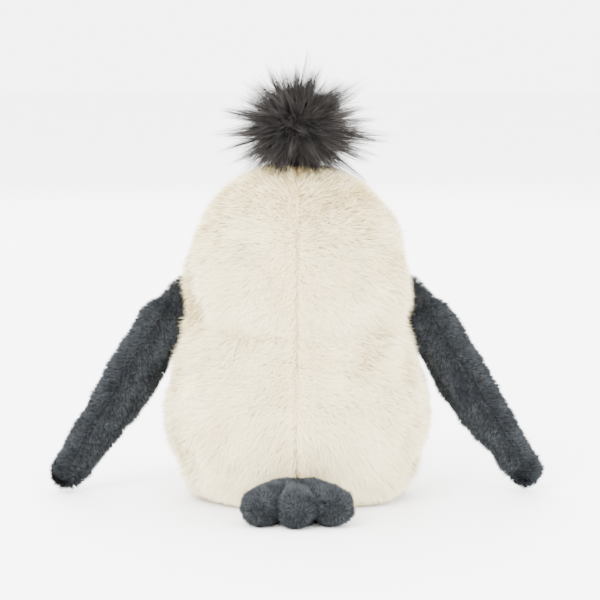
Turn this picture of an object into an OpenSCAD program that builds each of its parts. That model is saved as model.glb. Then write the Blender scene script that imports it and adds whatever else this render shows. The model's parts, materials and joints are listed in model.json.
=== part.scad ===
// Stuffed penguin toy: fur fabric body in sewn panels, two hinged flippers, a lobed tail,
// two three-toed feet, a stuffed beak, domed eyes and a fur tuft on the crown.
// +Z is up, the face looks along -Y, and the penguin's own left side is +X.
// The origin is on the floor, at the middle of the flat base.

/* [Body] */
// Height of the crown of the skin, without its pile
crown_h = 204; // [185:1:240]
// Half width of the skin at the belly
belly_r = 78.4; // [72:0.2:90]
// Height of the widest line of the belly
belly_h = 50; // [44:1:60]
// Half width of the skin at the neck crease
neck_r = 66.6; // [60:0.2:70]
// Height of the neck crease
neck_h = 114; // [100:1:120]
// Half width of the skin at the cheeks
cheek_r = 68; // [64:0.2:76]
// Height of the widest line of the head
cheek_h = 130; // [124:1:140]
// Half width of the flat base
base_r = 56; // [50:1:60]
// Depth of the body as a share of its width
body_depth = 0.87; // [0.82:0.01:0.95]
// Thickness of the body's fur fabric, without its pile
skin_t = 2; // [1.5:0.1:2.5]
// How far the side seams lie forward of the widest line, in degrees round the body
side_seam = 7; // [4:1:12]

/* [Fits] */
// Clearance between soft pieces that lie against each other
soft_gap = 0.3; // [0.2:0.05:0.5]
// Radial clearance round a hard shank in its hole
shank_gap = 0.05; // [0.03:0.01:0.1]

/* [Bean pouch] */
// Radius of the weighted pouch
pouch_r = 42; // [36:1:44]
// Height of the weighted pouch
pouch_h = 16; // [12:1:20]
// Thickness of the pouch's cloth
pouch_t = 0.8; // [0.6:0.1:1.2]

/* [Flippers] */
// Length of a flipper from its shoulder to its tip
flipper_len = 123.5; // [105:0.5:125]
// Radius of the rounded root
flipper_root_r = 14; // [12:0.5:15]
// Greatest half width
flipper_mid_r = 15.8; // [14:0.1:18]
// Radius of the blunt tip
flipper_tip_r = 10.6; // [9:0.1:12]
// Thickness through the stuffing
flipper_t = 16; // [13:0.5:18]
// Sideways sway of the centre line
flipper_sway = 1.8; // [0:0.1:3]
// Angle between a hanging flipper and the vertical
flipper_droop = 32; // [28:1:38]
// Height of the shoulder
shoulder_h = 109; // [106:1:114]
// Radius of the unstuffed root tab
tab_r = 7.5; // [6:0.5:8]
// Thickness of the root tab at its middle
tab_t = 1.5; // [1:0.1:2.5]
// Thickness of the short plush of the flippers, tail, feet and beak, without its pile
plush_t = 1.2; // [0.8:0.1:1.6]

/* [Tail] */
// Radius of a tail lobe
tail_lobe_r = 11.2; // [9:0.1:13]
// Length from the root hinge to the middle of the end of a lobe
tail_len = 26.5; // [20:0.5:34]
// Distance between the ends of neighbouring lobes
tail_spread = 22; // [16:0.5:26]
// Distance between the roots of neighbouring lobes
tail_root_gap = 9; // [6:0.5:12]

/* [Feet] */
// Radius of a toe
toe_r = 8; // [7:0.1:9]
// Length from the ankle hinge to the middle of the end of a toe
toe_len = 24; // [18:0.5:30]
// Distance between the ends of neighbouring toes
toe_spread = 14; // [11:0.5:17]
// Distance between the roots of neighbouring toes
toe_root_gap = 7; // [5:0.5:9]
// Where the feet sit round the body, in degrees from the side towards the front
foot_turn = 62; // [58:1:68]

/* [Face] */
// Half distance between the eyes
eye_x = 27; // [22:1:34]
// Height of the eyes
eye_h = 160; // [150:1:168]
// Radius of the eye's rim
eye_r = 5.4; // [4:0.1:6]
// Height of the eye's dome
eye_dome = 4.2; // [3:0.1:4.2]
// Radius of the eye's shank
shank_r = 1.6; // [1.2:0.1:2]
// Length of the shank below the eye
shank_len = 6; // [5.5:0.5:8]
// Radius of the washer that locks the shank
washer_r = 6; // [5:0.5:7]
// Thickness of that washer
washer_t = 1.2; // [1:0.1:1.5]
// Half width of the beak at its root
beak_w = 15; // [12:0.5:18]
// Half height of the beak at its root
beak_h = 8.5; // [7:0.5:10]
// Length of the beak
beak_len = 23; // [16:1:30]
// Height of the middle of the beak's root
beak_z = 143; // [138:1:148]
// How far the beak's tip lies below its root
beak_droop = 3; // [0:0.5:5]

/* [Tuft] */
// Radius of the round patch that the tuft is sewn to
patch_r = 9; // [7:0.5:11]
// Thickness of that patch
patch_t = 1.5; // [1:0.1:2]
// Radius of the thread-wound shank
tuft_shank_r = 4; // [3:0.25:5]
// Height of the tuft's middle above the crown
tuft_rise = 27; // [25:1:30]
// Radius of the gathered core
tuft_core_r = 12; // [9:0.5:14]
// Radius that the full hair reaches
tuft_r = 36; // [30:1:38]
// Lowest height of the hair above the patch
tuft_lift = 5; // [4:0.5:7]

/* [Hidden] */

$fn = 64;

// Finishes
fur_colour = [0.93, 0.91, 0.86];
plush_colour = [0.29, 0.32, 0.35];
hair_colour = [0.26, 0.25, 0.25];
filling_colour = [0.96, 0.96, 0.94];
cloth_colour = [0.85, 0.84, 0.8];
black_colour = [0.06, 0.06, 0.07];

// Shape of the rounded bottom, and of the crown
bottom_power = 1.4;
crown_power = 1.5;
crown_flat = 2.85;
// Radius of the gathered hole where the panels meet at the crown
crown_hole_r = 5;
// Pieces that each stretch of the outline is cut into
bottom_steps = 7;
neck_steps = 4;
cheek_steps = 2;
head_steps = 7;
// Pieces across each panel of the body
panel_steps = 8;
// Full thinness at which a tapering ring still counts as a ring
least_share = 0.3;

// ---- General helpers ----

function lerp(a, b, t) = a + (b - a) * t;

// Eased step from 0 to 1, level at both ends
function ease(t) = (1 - cos(180 * t)) / 2;

// Reverses the order of a list
function backwards(list) = [for (i = [len(list) - 1:-1:0]) list[i]];

// The two triangles between four corners
function two_triangles(a, b, c, d) = [[a, b, c], [a, c, d]];

// Closed solid between an outer and an inner sheet of points with the same rows and columns
module sheet(outer, inner) {
    rows = len(outer);
    cols = len(outer[0]);
    count = rows * cols;
    points = concat([for (row = outer) each row], [for (row = inner) each row]);
    skins = [for (i = [0:rows - 2], j = [0:cols - 2])
        let (a = i * cols + j, b = a + 1, c = b + cols, d = a + cols)
        each concat(two_triangles(a, d, c, b), two_triangles(count + a, count + b, count + c, count + d))];
    edge = concat(
        [for (j = [0:cols - 1]) j],
        [for (i = [1:rows - 1]) i * cols + cols - 1],
        [for (j = [cols - 2:-1:0]) (rows - 1) * cols + j],
        [for (i = [rows - 2:-1:1]) i * cols]);
    rims = [for (i = [0:len(edge) - 1])
        let (a = edge[i], b = edge[(i + 1) % len(edge)])
        each two_triangles(a, b, count + b, count + a)];
    polyhedron(points, concat(skins, rims));
}

// Closed solid through a stack of rings, each with the same number of points, capped at both ends.
// Past the ring at crest the triangles lean the other way, so nested solids have matching facets.
module stack(rings, crest = 1000) {
    cols = len(rings[0]);
    last = (len(rings) - 1) * cols;
    points = [for (ring = rings) each ring];
    sides = [for (i = [0:len(rings) - 2], j = [0:cols - 1])
        let (a = i * cols + j, b = i * cols + (j + 1) % cols)
        each i < crest ? two_triangles(a, a + cols, b + cols, b) : two_triangles(b, a, a + cols, b + cols)];
    low_cap = [for (j = [1:cols - 2]) [0, j, j + 1]];
    high_cap = [for (j = [1:cols - 2]) [last, last + j + 1, last + j]];
    polyhedron(points, concat(sides, low_cap, high_cap));
}

// ---- Body ----

// Outline of the skin as [half width, height], from the rim of the base to the crown
outline = concat(
    [for (i = [0:bottom_steps])
        let (a = 90 * i / bottom_steps, p = 2 / bottom_power)
        [lerp(base_r, belly_r, pow(sin(a), p)), belly_h * (1 - pow(cos(a), p))]],
    [for (i = [1:neck_steps])
        let (t = i / neck_steps)
        [lerp(belly_r, neck_r, ease(t)), lerp(belly_h, neck_h, t)]],
    [for (i = [1:cheek_steps])
        let (t = i / cheek_steps)
        [lerp(neck_r, cheek_r, ease(t)), lerp(neck_h, cheek_h, t)]],
    [for (i = [1:head_steps])
        let (
            rim = pow(1 - pow(crown_hole_r / cheek_r, crown_flat), 1 / crown_power),
            rise = i == head_steps ? rim : sin(90 * i / head_steps)
        )
        [cheek_r * pow(1 - pow(rise, crown_power), 1 / crown_flat), lerp(cheek_h, crown_h, rise)]]
);

// The outline moved inwards by a distance, square to itself
function inset(line, d) = [for (i = [0:len(line) - 1])
    let (
        along = line[min(i + 1, len(line) - 1)] - line[max(i - 1, 0)],
        inward = [-along[1], along[0]] / norm(along)
    )
    line[i] + d * inward];

skin_inside = inset(outline, skin_t);
filling_outside = inset(outline, skin_t + soft_gap);
base_top = skin_inside[0][1];

// Half width of the skin at a height
function skin_r(z) = lookup(z, [for (p = outline) [p[1], p[0]]]);

// Point on the body at an outline point and an angle round it, from +X towards +Y
function round_body(p, a) = [p[0] * cos(a), body_depth * p[0] * sin(a), p[1]];

// Angles round the body at which the four panels' points lie, from one seam to the next
seams = [-side_seam, 90, 180 + side_seam, 270, 360 - side_seam];
round_angles = [for (seam = [0:3], i = [0:panel_steps - 1])
    lerp(seams[seam], seams[seam + 1], i / panel_steps)];

// Ring of points round the whole body at an outline point
function body_ring(p) = [for (a = round_angles) round_body(p, a)];

// Direction that the skin faces at an angle round the body and a height
function skin_normal(a, z) =
    let (
        slope = (skin_r(z + 1) - skin_r(z - 1)) / 2,
        n = [body_depth * cos(a), sin(a), -body_depth * slope]
    )
    n / norm(n);

// Point on the skin at an angle round the body and a height
function on_skin(a, z) = round_body([skin_r(z), z], a);

// One panel of the body, sewn to its neighbours along upright seams at two angles
module body_panel(from, to) {
    angles = [for (i = [0:panel_steps]) lerp(from, to, i / panel_steps)];
    color(fur_colour)
    sheet(
        [for (p = outline) [for (a = angles) round_body(p, a)]],
        [for (p = skin_inside) [for (a = angles) round_body(p, a)]]
    );
}

// Front panel with the hole that the eye's shank passes through
module front_panel(from, to, side) {
    difference() {
        body_panel(from, to);
        at_eye(side) translate([0, 0, -shank_len]) cylinder(r = shank_r + shank_gap, h = 2 * shank_len);
    }
}

module base_panel() {
    color(fur_colour) stack([body_ring(outline[0]), body_ring(skin_inside[0])]);
}

module body_stuffing() {
    pouch_top = base_top + pouch_h + 2 * soft_gap;
    color(filling_colour)
    difference() {
        stack([for (p = filling_outside) body_ring(p)]);
        translate([0, 0, -1]) cylinder(r = pouch_r + soft_gap, h = pouch_top + 1);
        for (side = [-1, 1]) at_eye(side) translate([0, 0, -shank_len - 1])
            cylinder(r = washer_r + soft_gap, h = shank_len + 2);
    }
}

// ---- Bean pouch ----

// Half section of the pouch, shrunk by a distance, with a round outer edge
function pouch_section(d) =
    let (h = pouch_h / 2 - d, middle = pouch_h / 2, straight = pouch_r - pouch_h / 2)
    concat(
        [[0, middle - h]],
        [for (i = [0:8]) let (a = -90 + 22.5 * i) [straight + h * cos(a), middle + h * sin(a)]],
        [[0, middle + h]]);

module bean_pouch() {
    color(cloth_colour)
    translate([0, 0, base_top + soft_gap])
    difference() {
        rotate_extrude() polygon(pouch_section(0));
        rotate_extrude() polygon(pouch_section(pouch_t));
    }
}

module bean_pellets() {
    color(black_colour)
    translate([0, 0, base_top + soft_gap])
    rotate_extrude() polygon(pouch_section(pouch_t + soft_gap));
}

// ---- Eyes ----

// Angle round the body at which the eyes sit
eye_turn = -acos(eye_x / skin_r(eye_h));

// Radius of the ball that an eye's dome is cut from
eye_ball_r = (eye_r * eye_r + eye_dome * eye_dome) / (2 * eye_dome);

// Puts its children on the skin at an eye, with +Z pointing straight out
module at_eye(side) {
    n = skin_normal(eye_turn, eye_h);
    place = on_skin(eye_turn, eye_h) + soft_gap * n;
    mirror([side < 0 ? 1 : 0, 0, 0])
    translate(place)
    rotate([0, acos(n[2]), atan2(n[1], n[0])])
    children();
}

module eye(side) {
    color(black_colour)
    at_eye(side) {
        intersection() {
            translate([0, 0, eye_dome - eye_ball_r]) sphere(eye_ball_r);
            cylinder(r = 2 * eye_r, h = 2 * eye_dome);
        }
        translate([0, 0, -shank_len]) cylinder(r = shank_r, h = shank_len + 1);
    }
}

module eye_washer(side) {
    color(cloth_colour)
    at_eye(side)
    translate([0, 0, -shank_len + 0.5])
    difference() {
        cylinder(r = washer_r, h = washer_t);
        translate([0, 0, -1]) cylinder(r = shank_r + shank_gap, h = washer_t + 2);
    }
}

// ---- Beak ----

beak_rows = 6;
beak_cols = 8;

// Point of the beak: t runs from root to tip, a goes round, d shrinks the section's wall,
// and share scales the section, so that small rings at the root can follow the skin
function beak_point(t, a, d, share = 1) =
    let (
        taper = pow(1 - pow(t, 1.6), 0.8),
        w = max(beak_w * taper - d, least_share * beak_w * taper),
        h = max(beak_h * taper - d, least_share * beak_h * taper),
        x = share * w * cos(a),
        z = beak_z + share * h * sin(a) - beak_droop * t,
        r = skin_r(z),
        root_y = -body_depth * sqrt(r * r - x * x) - soft_gap,
        tip_y = -body_depth * skin_r(beak_z) - beak_len + d
    )
    [x, lerp(root_y, tip_y, t), z];

// Places of the rows along the beak, just short of the point
beak_places = [for (i = [0:beak_rows]) 0.98 * sin(90 * i / beak_rows)];

// Upper or lower half of the beak's cover
module beak_panel(from) {
    angles = [for (j = [0:beak_cols]) from + 180 * j / beak_cols];
    color(plush_colour)
    sheet(
        [for (t = beak_places) [for (a = angles) beak_point(t, a, 0)]],
        [for (t = beak_places) [for (a = angles) beak_point(t, a, plush_t)]]
    );
}

module beak_stuffing() {
    angles = [for (j = [0:2 * beak_cols - 1]) 180 * j / beak_cols];
    d = plush_t + soft_gap;
    root = [for (share = [0.1, 0.55]) [for (a = angles) beak_point(0, a, d, share)]];
    color(filling_colour)
    stack(concat(root, [for (t = beak_places) [for (a = angles) beak_point(t, a, d)]]));
}

// ---- Tuft ----

patch_top = crown_h + patch_t;
tuft_pivot_z = patch_top + soft_gap + tuft_shank_r;
tuft_z = crown_h + tuft_rise;

module crown_patch() {
    color(fur_colour) translate([0, 0, crown_h]) cylinder(r = patch_r, h = patch_t);
}

module tuft_shank() {
    top = tuft_z - tuft_core_r - soft_gap;
    color(hair_colour) {
        translate([0, 0, tuft_pivot_z]) sphere(tuft_shank_r);
        translate([0, 0, tuft_pivot_z]) cylinder(r = 0.9 * tuft_shank_r, h = top - tuft_pivot_z);
    }
}

module tuft_core() {
    color(hair_colour) translate([0, 0, tuft_z]) sphere(tuft_core_r);
}

module tuft_pile() {
    color(hair_colour)
    difference() {
        translate([0, 0, tuft_z]) sphere(tuft_r);
        translate([0, 0, tuft_z]) sphere(tuft_core_r + soft_gap);
        translate([-tuft_r, -tuft_r, patch_top + tuft_lift - 2 * tuft_r]) cube(2 * tuft_r);
        translate([0, 0, crown_h]) cylinder(r = tuft_shank_r + soft_gap, h = tuft_rise);
    }
}

// ---- Flippers ----

// The root tab stands clear of the widest skin beside it, and the shoulder stands beyond the tab
tab_x = soft_gap + max([for (z = [shoulder_h - tab_r:1:shoulder_h + tab_r]) skin_r(z)]);
shoulder_x = tab_x + tab_t + soft_gap + flipper_root_r;
shoulder_y = -body_depth * skin_r(shoulder_h) * sin(side_seam);

flipper_steps = 6;
flipper_cols = 8;
// Middle of the round tip, and of the widest stretch, along the flipper
tip_middle = flipper_len - flipper_tip_r;
broad_share = 0.32;

// Half width along the straight stretch between the round ends
function flipper_half(t) = t < broad_share
    ? lerp(flipper_root_r, flipper_mid_r, ease(t / broad_share))
    : lerp(flipper_mid_r, flipper_tip_r, ease((t - broad_share) / (1 - broad_share)));

// Stations of the flipper, shrunk by a distance, as [place along it, half width, half thickness]
function flipper_stations(d) =
    let (
        ends = [5, 30, 60],
        line = concat(
            [for (a = ends) [-(flipper_root_r - d) * cos(a), (flipper_root_r - d) * sin(a)]],
            [for (i = [0:flipper_steps])
                let (t = i / flipper_steps) [tip_middle * t, flipper_half(t) - d]],
            [for (a = backwards(ends))
                [tip_middle + (flipper_tip_r - d) * cos(a), (flipper_tip_r - d) * sin(a)]])
    )
    [for (p = line) [p[0], p[1], (flipper_t / 2 - d) * pow(p[1] / (flipper_mid_r - d), 0.6)]];

// Point on the left flipper at a station, a degrees round from its outer edge over its back
function flipper_point(station, a) =
    let (
        sway = flipper_sway * sin(360 * max(station[0], 0) / (1.5 * flipper_len)),
        across = station[1] * cos(a) - sway,
        down = [sin(flipper_droop), 0, -cos(flipper_droop)],
        out = [cos(flipper_droop), 0, sin(flipper_droop)]
    )
    [shoulder_x, shoulder_y, shoulder_h]
        + station[0] * down + across * out + [0, station[2] * sin(a), 0];

// Copies the left side's piece to the right where side is -1
module on_side(side) {
    mirror([side < 0 ? 1 : 0, 0, 0]) children();
}

// Back or front half of a flipper's cover
module flipper_panel(side, from) {
    angles = [for (j = [0:flipper_cols]) from + 180 * j / flipper_cols];
    color(plush_colour)
    on_side(side)
    sheet(
        [for (s = flipper_stations(0)) [for (a = angles) flipper_point(s, a)]],
        [for (s = flipper_stations(plush_t)) [for (a = angles) flipper_point(s, a)]]
    );
}

module flipper_stuffing(side) {
    angles = [for (j = [0:2 * flipper_cols - 1]) 180 * j / flipper_cols];
    color(filling_colour)
    on_side(side)
    stack([for (s = flipper_stations(plush_t + soft_gap)) [for (a = angles) flipper_point(s, a)]]);
}

// Flat round tab, hollowed on its outer side to take the flipper's root
module flipper_root_tab(side) {
    color(plush_colour)
    on_side(side)
    difference() {
        translate([tab_x, shoulder_y, shoulder_h])
            rotate([0, 90, 0]) cylinder(r = tab_r, h = tab_t + tab_r / 2);
        translate([shoulder_x, shoulder_y, shoulder_h])
            rotate([90, 0, 0]) cylinder(r = flipper_root_r + soft_gap, h = 4 * tab_r, center = true);
    }
}

// ---- Lobed pads: the tail and the feet ----

pad_rays = 32;
pad_shares = [1, 0.93, 0.76, 0.5, 0.15];

// Axes of a pad's three lobes, as [root, end], with the hinge along X and the lobes towards +Y
function pad_lobes(len, spread, root_gap) =
    [for (i = [-1:1]) [[i * root_gap, 0], [i * spread, len - abs(i) * 0.06 * len]]];

// Distance from a point to a lobe's axis
function to_axis(p, lobe) =
    let (
        along = lobe[1] - lobe[0],
        t = max(0, min(1, (p - lobe[0]) * along / (along * along)))
    )
    norm(p - lobe[0] - t * along);

// Where a ray from a point leaves the circles along a lobe
function ray_exit(from, ray, lobe, r) = max([for (t = [0:0.125:1])
    let (
        to_centre = lerp(lobe[0], lobe[1], t) - from,
        ahead = to_centre * ray,
        rest = r * r - to_centre * to_centre + ahead * ahead
    )
    rest > 0 ? ahead + sqrt(rest) : 0]);

// Rings of the upper side of a pad from its rim inwards, for lobes of radius r, shrunk by d
function pad_rings(lobes, r, d) =
    let (
        middle = [0, 0.3 * lobes[1][1][1]],
        rays = [for (i = [0:pad_rays - 1]) [cos(360 * i / pad_rays), sin(360 * i / pad_rays)]],
        reach = [for (ray = rays) max([for (lobe = lobes) ray_exit(middle, ray, lobe, r)])]
    )
    [for (share = pad_shares) [for (i = [0:pad_rays - 1])
        let (
            full = middle + share * reach[i] * rays[i],
            p = middle + share * (reach[i] - d) * rays[i],
            near = min([for (lobe = lobes) to_axis(full, lobe)])
        )
        [p[0], p[1], share == 1 ? 0 : max(sqrt(max(r * r - near * near, 0)) - d, 0)]]];

// Upper half of a pad's cover; the lower half is its mirror image
module pad_cover(lobes, r) {
    inner = pad_rings(lobes, r, plush_t);
    outer = pad_rings(lobes, r, 0);
    color(plush_colour) stack(concat(backwards(inner), outer), crest = len(inner));
}

module pad_stuffing(lobes, r) {
    upper = pad_rings(lobes, r, plush_t + soft_gap);
    lower = [for (i = [len(upper) - 1:-1:1]) [for (p = upper[i]) [p[0], p[1], -p[2]]]];
    color(filling_colour) stack(concat(lower, upper), crest = len(lower));
}

// Puts a pad's hinge line beside the body, as near as its round root may come,
// at an angle round the body, with its lobes pointing straight out
module beside_body(a, r) {
    n = skin_normal(a, belly_h);
    out = [n[0], n[1]] / norm([n[0], n[1]]);
    reach = norm([out[0], body_depth * out[1]]);
    clear = r + soft_gap;
    away = max([for (z = [0.5:0.5:2 * r])
        reach * skin_r(z) + sqrt(max(0, clear * clear - (z - r) * (z - r)))]);
    root = on_skin(a, r);
    tangent = [-out[1], out[0]];
    place = away * out + ([root[0], root[1]] * tangent) * tangent;
    translate([place[0], place[1], r]) rotate(atan2(out[1], out[0]) - 90) children();
}

tail_lobes = pad_lobes(tail_len, tail_spread, tail_root_gap);
foot_lobes = pad_lobes(toe_len, toe_spread, toe_root_gap);

module tail_top_panel() {
    beside_body(90, tail_lobe_r) pad_cover(tail_lobes, tail_lobe_r);
}

module tail_bottom_panel() {
    beside_body(90, tail_lobe_r) mirror([0, 0, 1]) pad_cover(tail_lobes, tail_lobe_r);
}

module tail_stuffing() {
    beside_body(90, tail_lobe_r) pad_stuffing(tail_lobes, tail_lobe_r);
}

module foot_top_panel(side) {
    on_side(side) beside_body(-foot_turn, toe_r) pad_cover(foot_lobes, toe_r);
}

module foot_sole_panel(side) {
    on_side(side) beside_body(-foot_turn, toe_r) mirror([0, 0, 1]) pad_cover(foot_lobes, toe_r);
}

module foot_stuffing(side) {
    on_side(side) beside_body(-foot_turn, toe_r) pad_stuffing(foot_lobes, toe_r);
}

// ---- Nodes ----

body_panel(-side_seam, 90);  // back_left_panel
body_panel(90, 180 + side_seam);  // back_right_panel
front_panel(270, 360 - side_seam, 1);  // front_left_panel
front_panel(180 + side_seam, 270, -1);  // front_right_panel
base_panel();
body_stuffing();
bean_pouch();
bean_pellets();
eye(1);  // eye_left
eye(-1);  // eye_right
eye_washer(1);  // eye_washer_left
eye_washer(-1);  // eye_washer_right
beak_panel(0);  // beak_upper_panel
beak_panel(180);  // beak_lower_panel
beak_stuffing();
crown_patch();
tuft_shank();
tuft_core();
tuft_pile();
flipper_root_tab(1);  // flipper_left_root_tab
flipper_panel(1, 0);  // flipper_left_back_panel
flipper_panel(1, 180);  // flipper_left_front_panel
flipper_stuffing(1);  // flipper_left_stuffing
flipper_root_tab(-1);  // flipper_right_root_tab
flipper_panel(-1, 0);  // flipper_right_back_panel
flipper_panel(-1, 180);  // flipper_right_front_panel
flipper_stuffing(-1);  // flipper_right_stuffing
tail_top_panel();
tail_bottom_panel();
tail_stuffing();
foot_top_panel(1);  // foot_left_top_panel
foot_sole_panel(1);  // foot_left_sole_panel
foot_stuffing(1);  // foot_left_stuffing
foot_top_panel(-1);  // foot_right_top_panel
foot_sole_panel(-1);  // foot_right_sole_panel
foot_stuffing(-1);  // foot_right_stuffing
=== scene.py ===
"""Looks of a stuffed penguin toy: sewn covers, standing pile, hair tuft, eyes and studio."""
import json
import logging
import math
from dataclasses import dataclass, field
from enum import Enum
from functools import partial
from typing import Callable, Sequence

import bpy
import numpy as np
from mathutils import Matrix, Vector
from mathutils.bvhtree import BVHTree

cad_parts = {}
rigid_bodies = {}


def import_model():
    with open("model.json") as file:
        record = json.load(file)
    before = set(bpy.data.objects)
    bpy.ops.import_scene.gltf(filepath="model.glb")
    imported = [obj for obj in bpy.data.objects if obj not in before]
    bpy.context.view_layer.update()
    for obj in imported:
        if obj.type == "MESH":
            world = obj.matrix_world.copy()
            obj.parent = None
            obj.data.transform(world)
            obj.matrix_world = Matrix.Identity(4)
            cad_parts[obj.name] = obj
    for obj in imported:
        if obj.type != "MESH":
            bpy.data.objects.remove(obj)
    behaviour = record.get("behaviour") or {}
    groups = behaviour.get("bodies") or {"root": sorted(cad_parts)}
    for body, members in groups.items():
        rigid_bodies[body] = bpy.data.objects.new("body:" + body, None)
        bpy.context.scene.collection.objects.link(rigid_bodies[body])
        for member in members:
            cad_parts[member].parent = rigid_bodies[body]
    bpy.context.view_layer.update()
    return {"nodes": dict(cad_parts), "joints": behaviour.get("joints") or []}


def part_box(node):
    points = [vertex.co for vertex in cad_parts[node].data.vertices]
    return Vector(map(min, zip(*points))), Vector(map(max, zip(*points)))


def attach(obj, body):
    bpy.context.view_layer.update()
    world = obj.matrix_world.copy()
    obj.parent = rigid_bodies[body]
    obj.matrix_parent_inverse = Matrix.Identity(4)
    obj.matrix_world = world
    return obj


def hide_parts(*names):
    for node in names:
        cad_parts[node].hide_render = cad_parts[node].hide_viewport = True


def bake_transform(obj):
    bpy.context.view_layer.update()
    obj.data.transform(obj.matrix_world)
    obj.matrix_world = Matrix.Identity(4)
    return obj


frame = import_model()

logging.basicConfig(level=logging.INFO, format="%(message)s")
log = logging.getLogger("penguin")

MM = 0.001
CLOTH_STEPS = 20  # frames of each simulation
CLOTH_MASS = 0.05
PIN_LEVELS = 10  # how finely the hold of a seam is graded
CREASE = 114 * MM  # height of the neck crease
CROWN = 204.1 * MM  # height of the crown of the skin
CROWN_GUARD = 208.6 * MM  # height that the hair keeps above the middle of the crown
SENSOR = 36.0  # width of the camera's sensor, in millimetres
RENDER_WIDTH = 600.0  # width of the render that the camera's values are given for
JOINTS = {joint["name"]: joint for joint in frame["joints"]}
UP = np.array([0.0, 0.0, 1.0])
BACKWARDS = np.array([0.0, 1.0, 0.0])

Flow = Callable[[np.ndarray, np.ndarray], np.ndarray]
Where = Callable[[np.ndarray], np.ndarray]


class Side(Enum):
    """The penguin's own left and right, as the sign of X."""

    LEFT = 1
    RIGHT = -1

    @property
    def word(self) -> str:
        """Name of the side in lower case."""
        return self.name.lower()


# ---------------------------------------------------------------- small numeric helpers


def unit(vectors: np.ndarray) -> np.ndarray:
    """Scales each row to a length of one."""
    return vectors / np.maximum(np.linalg.norm(vectors, axis=-1, keepdims=True), 1e-12)


def tangent(direction: np.ndarray, normals: np.ndarray) -> np.ndarray:
    """The part of a direction that lies in the surface, scaled to one, for each normal."""
    along = np.sum(direction * normals, axis=1, keepdims=True)
    return unit(direction - along * normals)


def bump(distance: np.ndarray, width: float) -> np.ndarray:
    """Bell curve that is 1 at no distance and fades out over a width."""
    return np.exp(-((distance / width) ** 2))


class Ripple:
    """Smooth random field made of a few waves, always the same for one seed."""

    def __init__(self, seed: int, size: float, waves: int = 10) -> None:
        """Draws the waves.

        Args:
            seed: Picks the field.
            size: Rough size of its patches, in metres.
            waves: How many waves are summed.
        """
        draw = np.random.default_rng(seed)
        ways = unit(draw.normal(size=(waves, 3)))
        self.paths = ways * draw.uniform(0.6, 1.7, (waves, 1)) * 2 * math.pi / size
        self.shifts = draw.uniform(0, 2 * math.pi, waves)
        self.scale = math.sqrt(2 / waves)

    def at(self, places: np.ndarray) -> np.ndarray:
        """Values of the field at some places, mostly between -2 and 2."""
        return self.scale * np.sin(places @ self.paths.T + self.shifts).sum(1)


# ---------------------------------------------------------------- mesh helpers


def select_nothing() -> None:
    """Clears the selection, so that a new primitive or a join takes nothing else along."""
    for other in bpy.context.view_layer.objects:
        other.select_set(False)


def only(piece: bpy.types.Object) -> None:
    """Selects one object, and nothing else, and makes it the active one.

    Args:
        piece: The object.
    """
    select_nothing()
    piece.select_set(True)
    bpy.context.view_layer.objects.active = piece


def vertices_of(piece: bpy.types.Object) -> np.ndarray:
    """Places of a mesh's vertices, one row each.

    Args:
        piece: The object.

    Returns:
        The places.
    """
    places = np.empty(len(piece.data.vertices) * 3)
    piece.data.vertices.foreach_get("co", places)
    return places.reshape(-1, 3)


def normals_of(piece: bpy.types.Object) -> np.ndarray:
    """Normals of a mesh's vertices, one row each.

    Args:
        piece: The object.

    Returns:
        The normals.
    """
    normals = np.empty(len(piece.data.vertices) * 3)
    piece.data.vertices.foreach_get("normal", normals)
    return normals.reshape(-1, 3)


def place_vertices(piece: bpy.types.Object, places: np.ndarray) -> None:
    """Moves a mesh's vertices to new places."""
    piece.data.vertices.foreach_set("co", np.ascontiguousarray(places, float).ravel())
    piece.data.update()


def copy_of(piece: bpy.types.Object, name: str) -> bpy.types.Object:
    """Copy of an object with its own mesh, on no body.

    Args:
        piece: The object.
        name: The copy's name.

    Returns:
        The copy.
    """
    made = bpy.data.objects.new(name, piece.data.copy())
    bpy.context.scene.collection.objects.link(made)
    return made


def copy_of_nodes(nodes: Sequence[str], name: str) -> bpy.types.Object:
    """Copies CAD nodes into one loose object with merged doubles.

    Args:
        nodes: Names of the nodes.
        name: Name of the new object.

    Returns:
        The new object.
    """
    parts = [copy_of(frame["nodes"][node], name) for node in nodes]
    only(parts[0])
    for part in parts:
        part.select_set(True)
    if len(parts) > 1:
        bpy.ops.object.join()
    made = bpy.context.view_layer.objects.active
    made.data.materials.clear()
    only(made)
    bpy.ops.object.mode_set(mode="EDIT")
    bpy.ops.mesh.select_all(action="SELECT")
    bpy.ops.mesh.remove_doubles(threshold=0.01 * MM)
    bpy.ops.object.mode_set(mode="OBJECT")
    return made


def finish_modifier(piece: bpy.types.Object, modifier: bpy.types.Modifier) -> None:
    """Applies a modifier to its object."""
    only(piece)
    bpy.ops.object.modifier_apply(modifier=modifier.name)


def smooth(piece: bpy.types.Object, rounds: int) -> None:
    """Evens out a mesh by moving each vertex towards its neighbours, some rounds over.

    Args:
        piece: The object.
        rounds: How many rounds.
    """
    evener = piece.modifiers.new("smooth", "SMOOTH")
    evener.factor = 0.5
    evener.iterations = rounds
    finish_modifier(piece, evener)


def remesh(piece: bpy.types.Object, voxel: float, rounds: int) -> None:
    """Gives a closed mesh even faces and rounds its edges.

    Args:
        piece: The mesh.
        voxel: Size of a face.
        rounds: How many times the result is smoothed.
    """
    grid = piece.modifiers.new("grid", "REMESH")
    grid.mode = "VOXEL"
    grid.voxel_size = voxel
    finish_modifier(piece, grid)
    smooth(piece, rounds)


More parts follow.
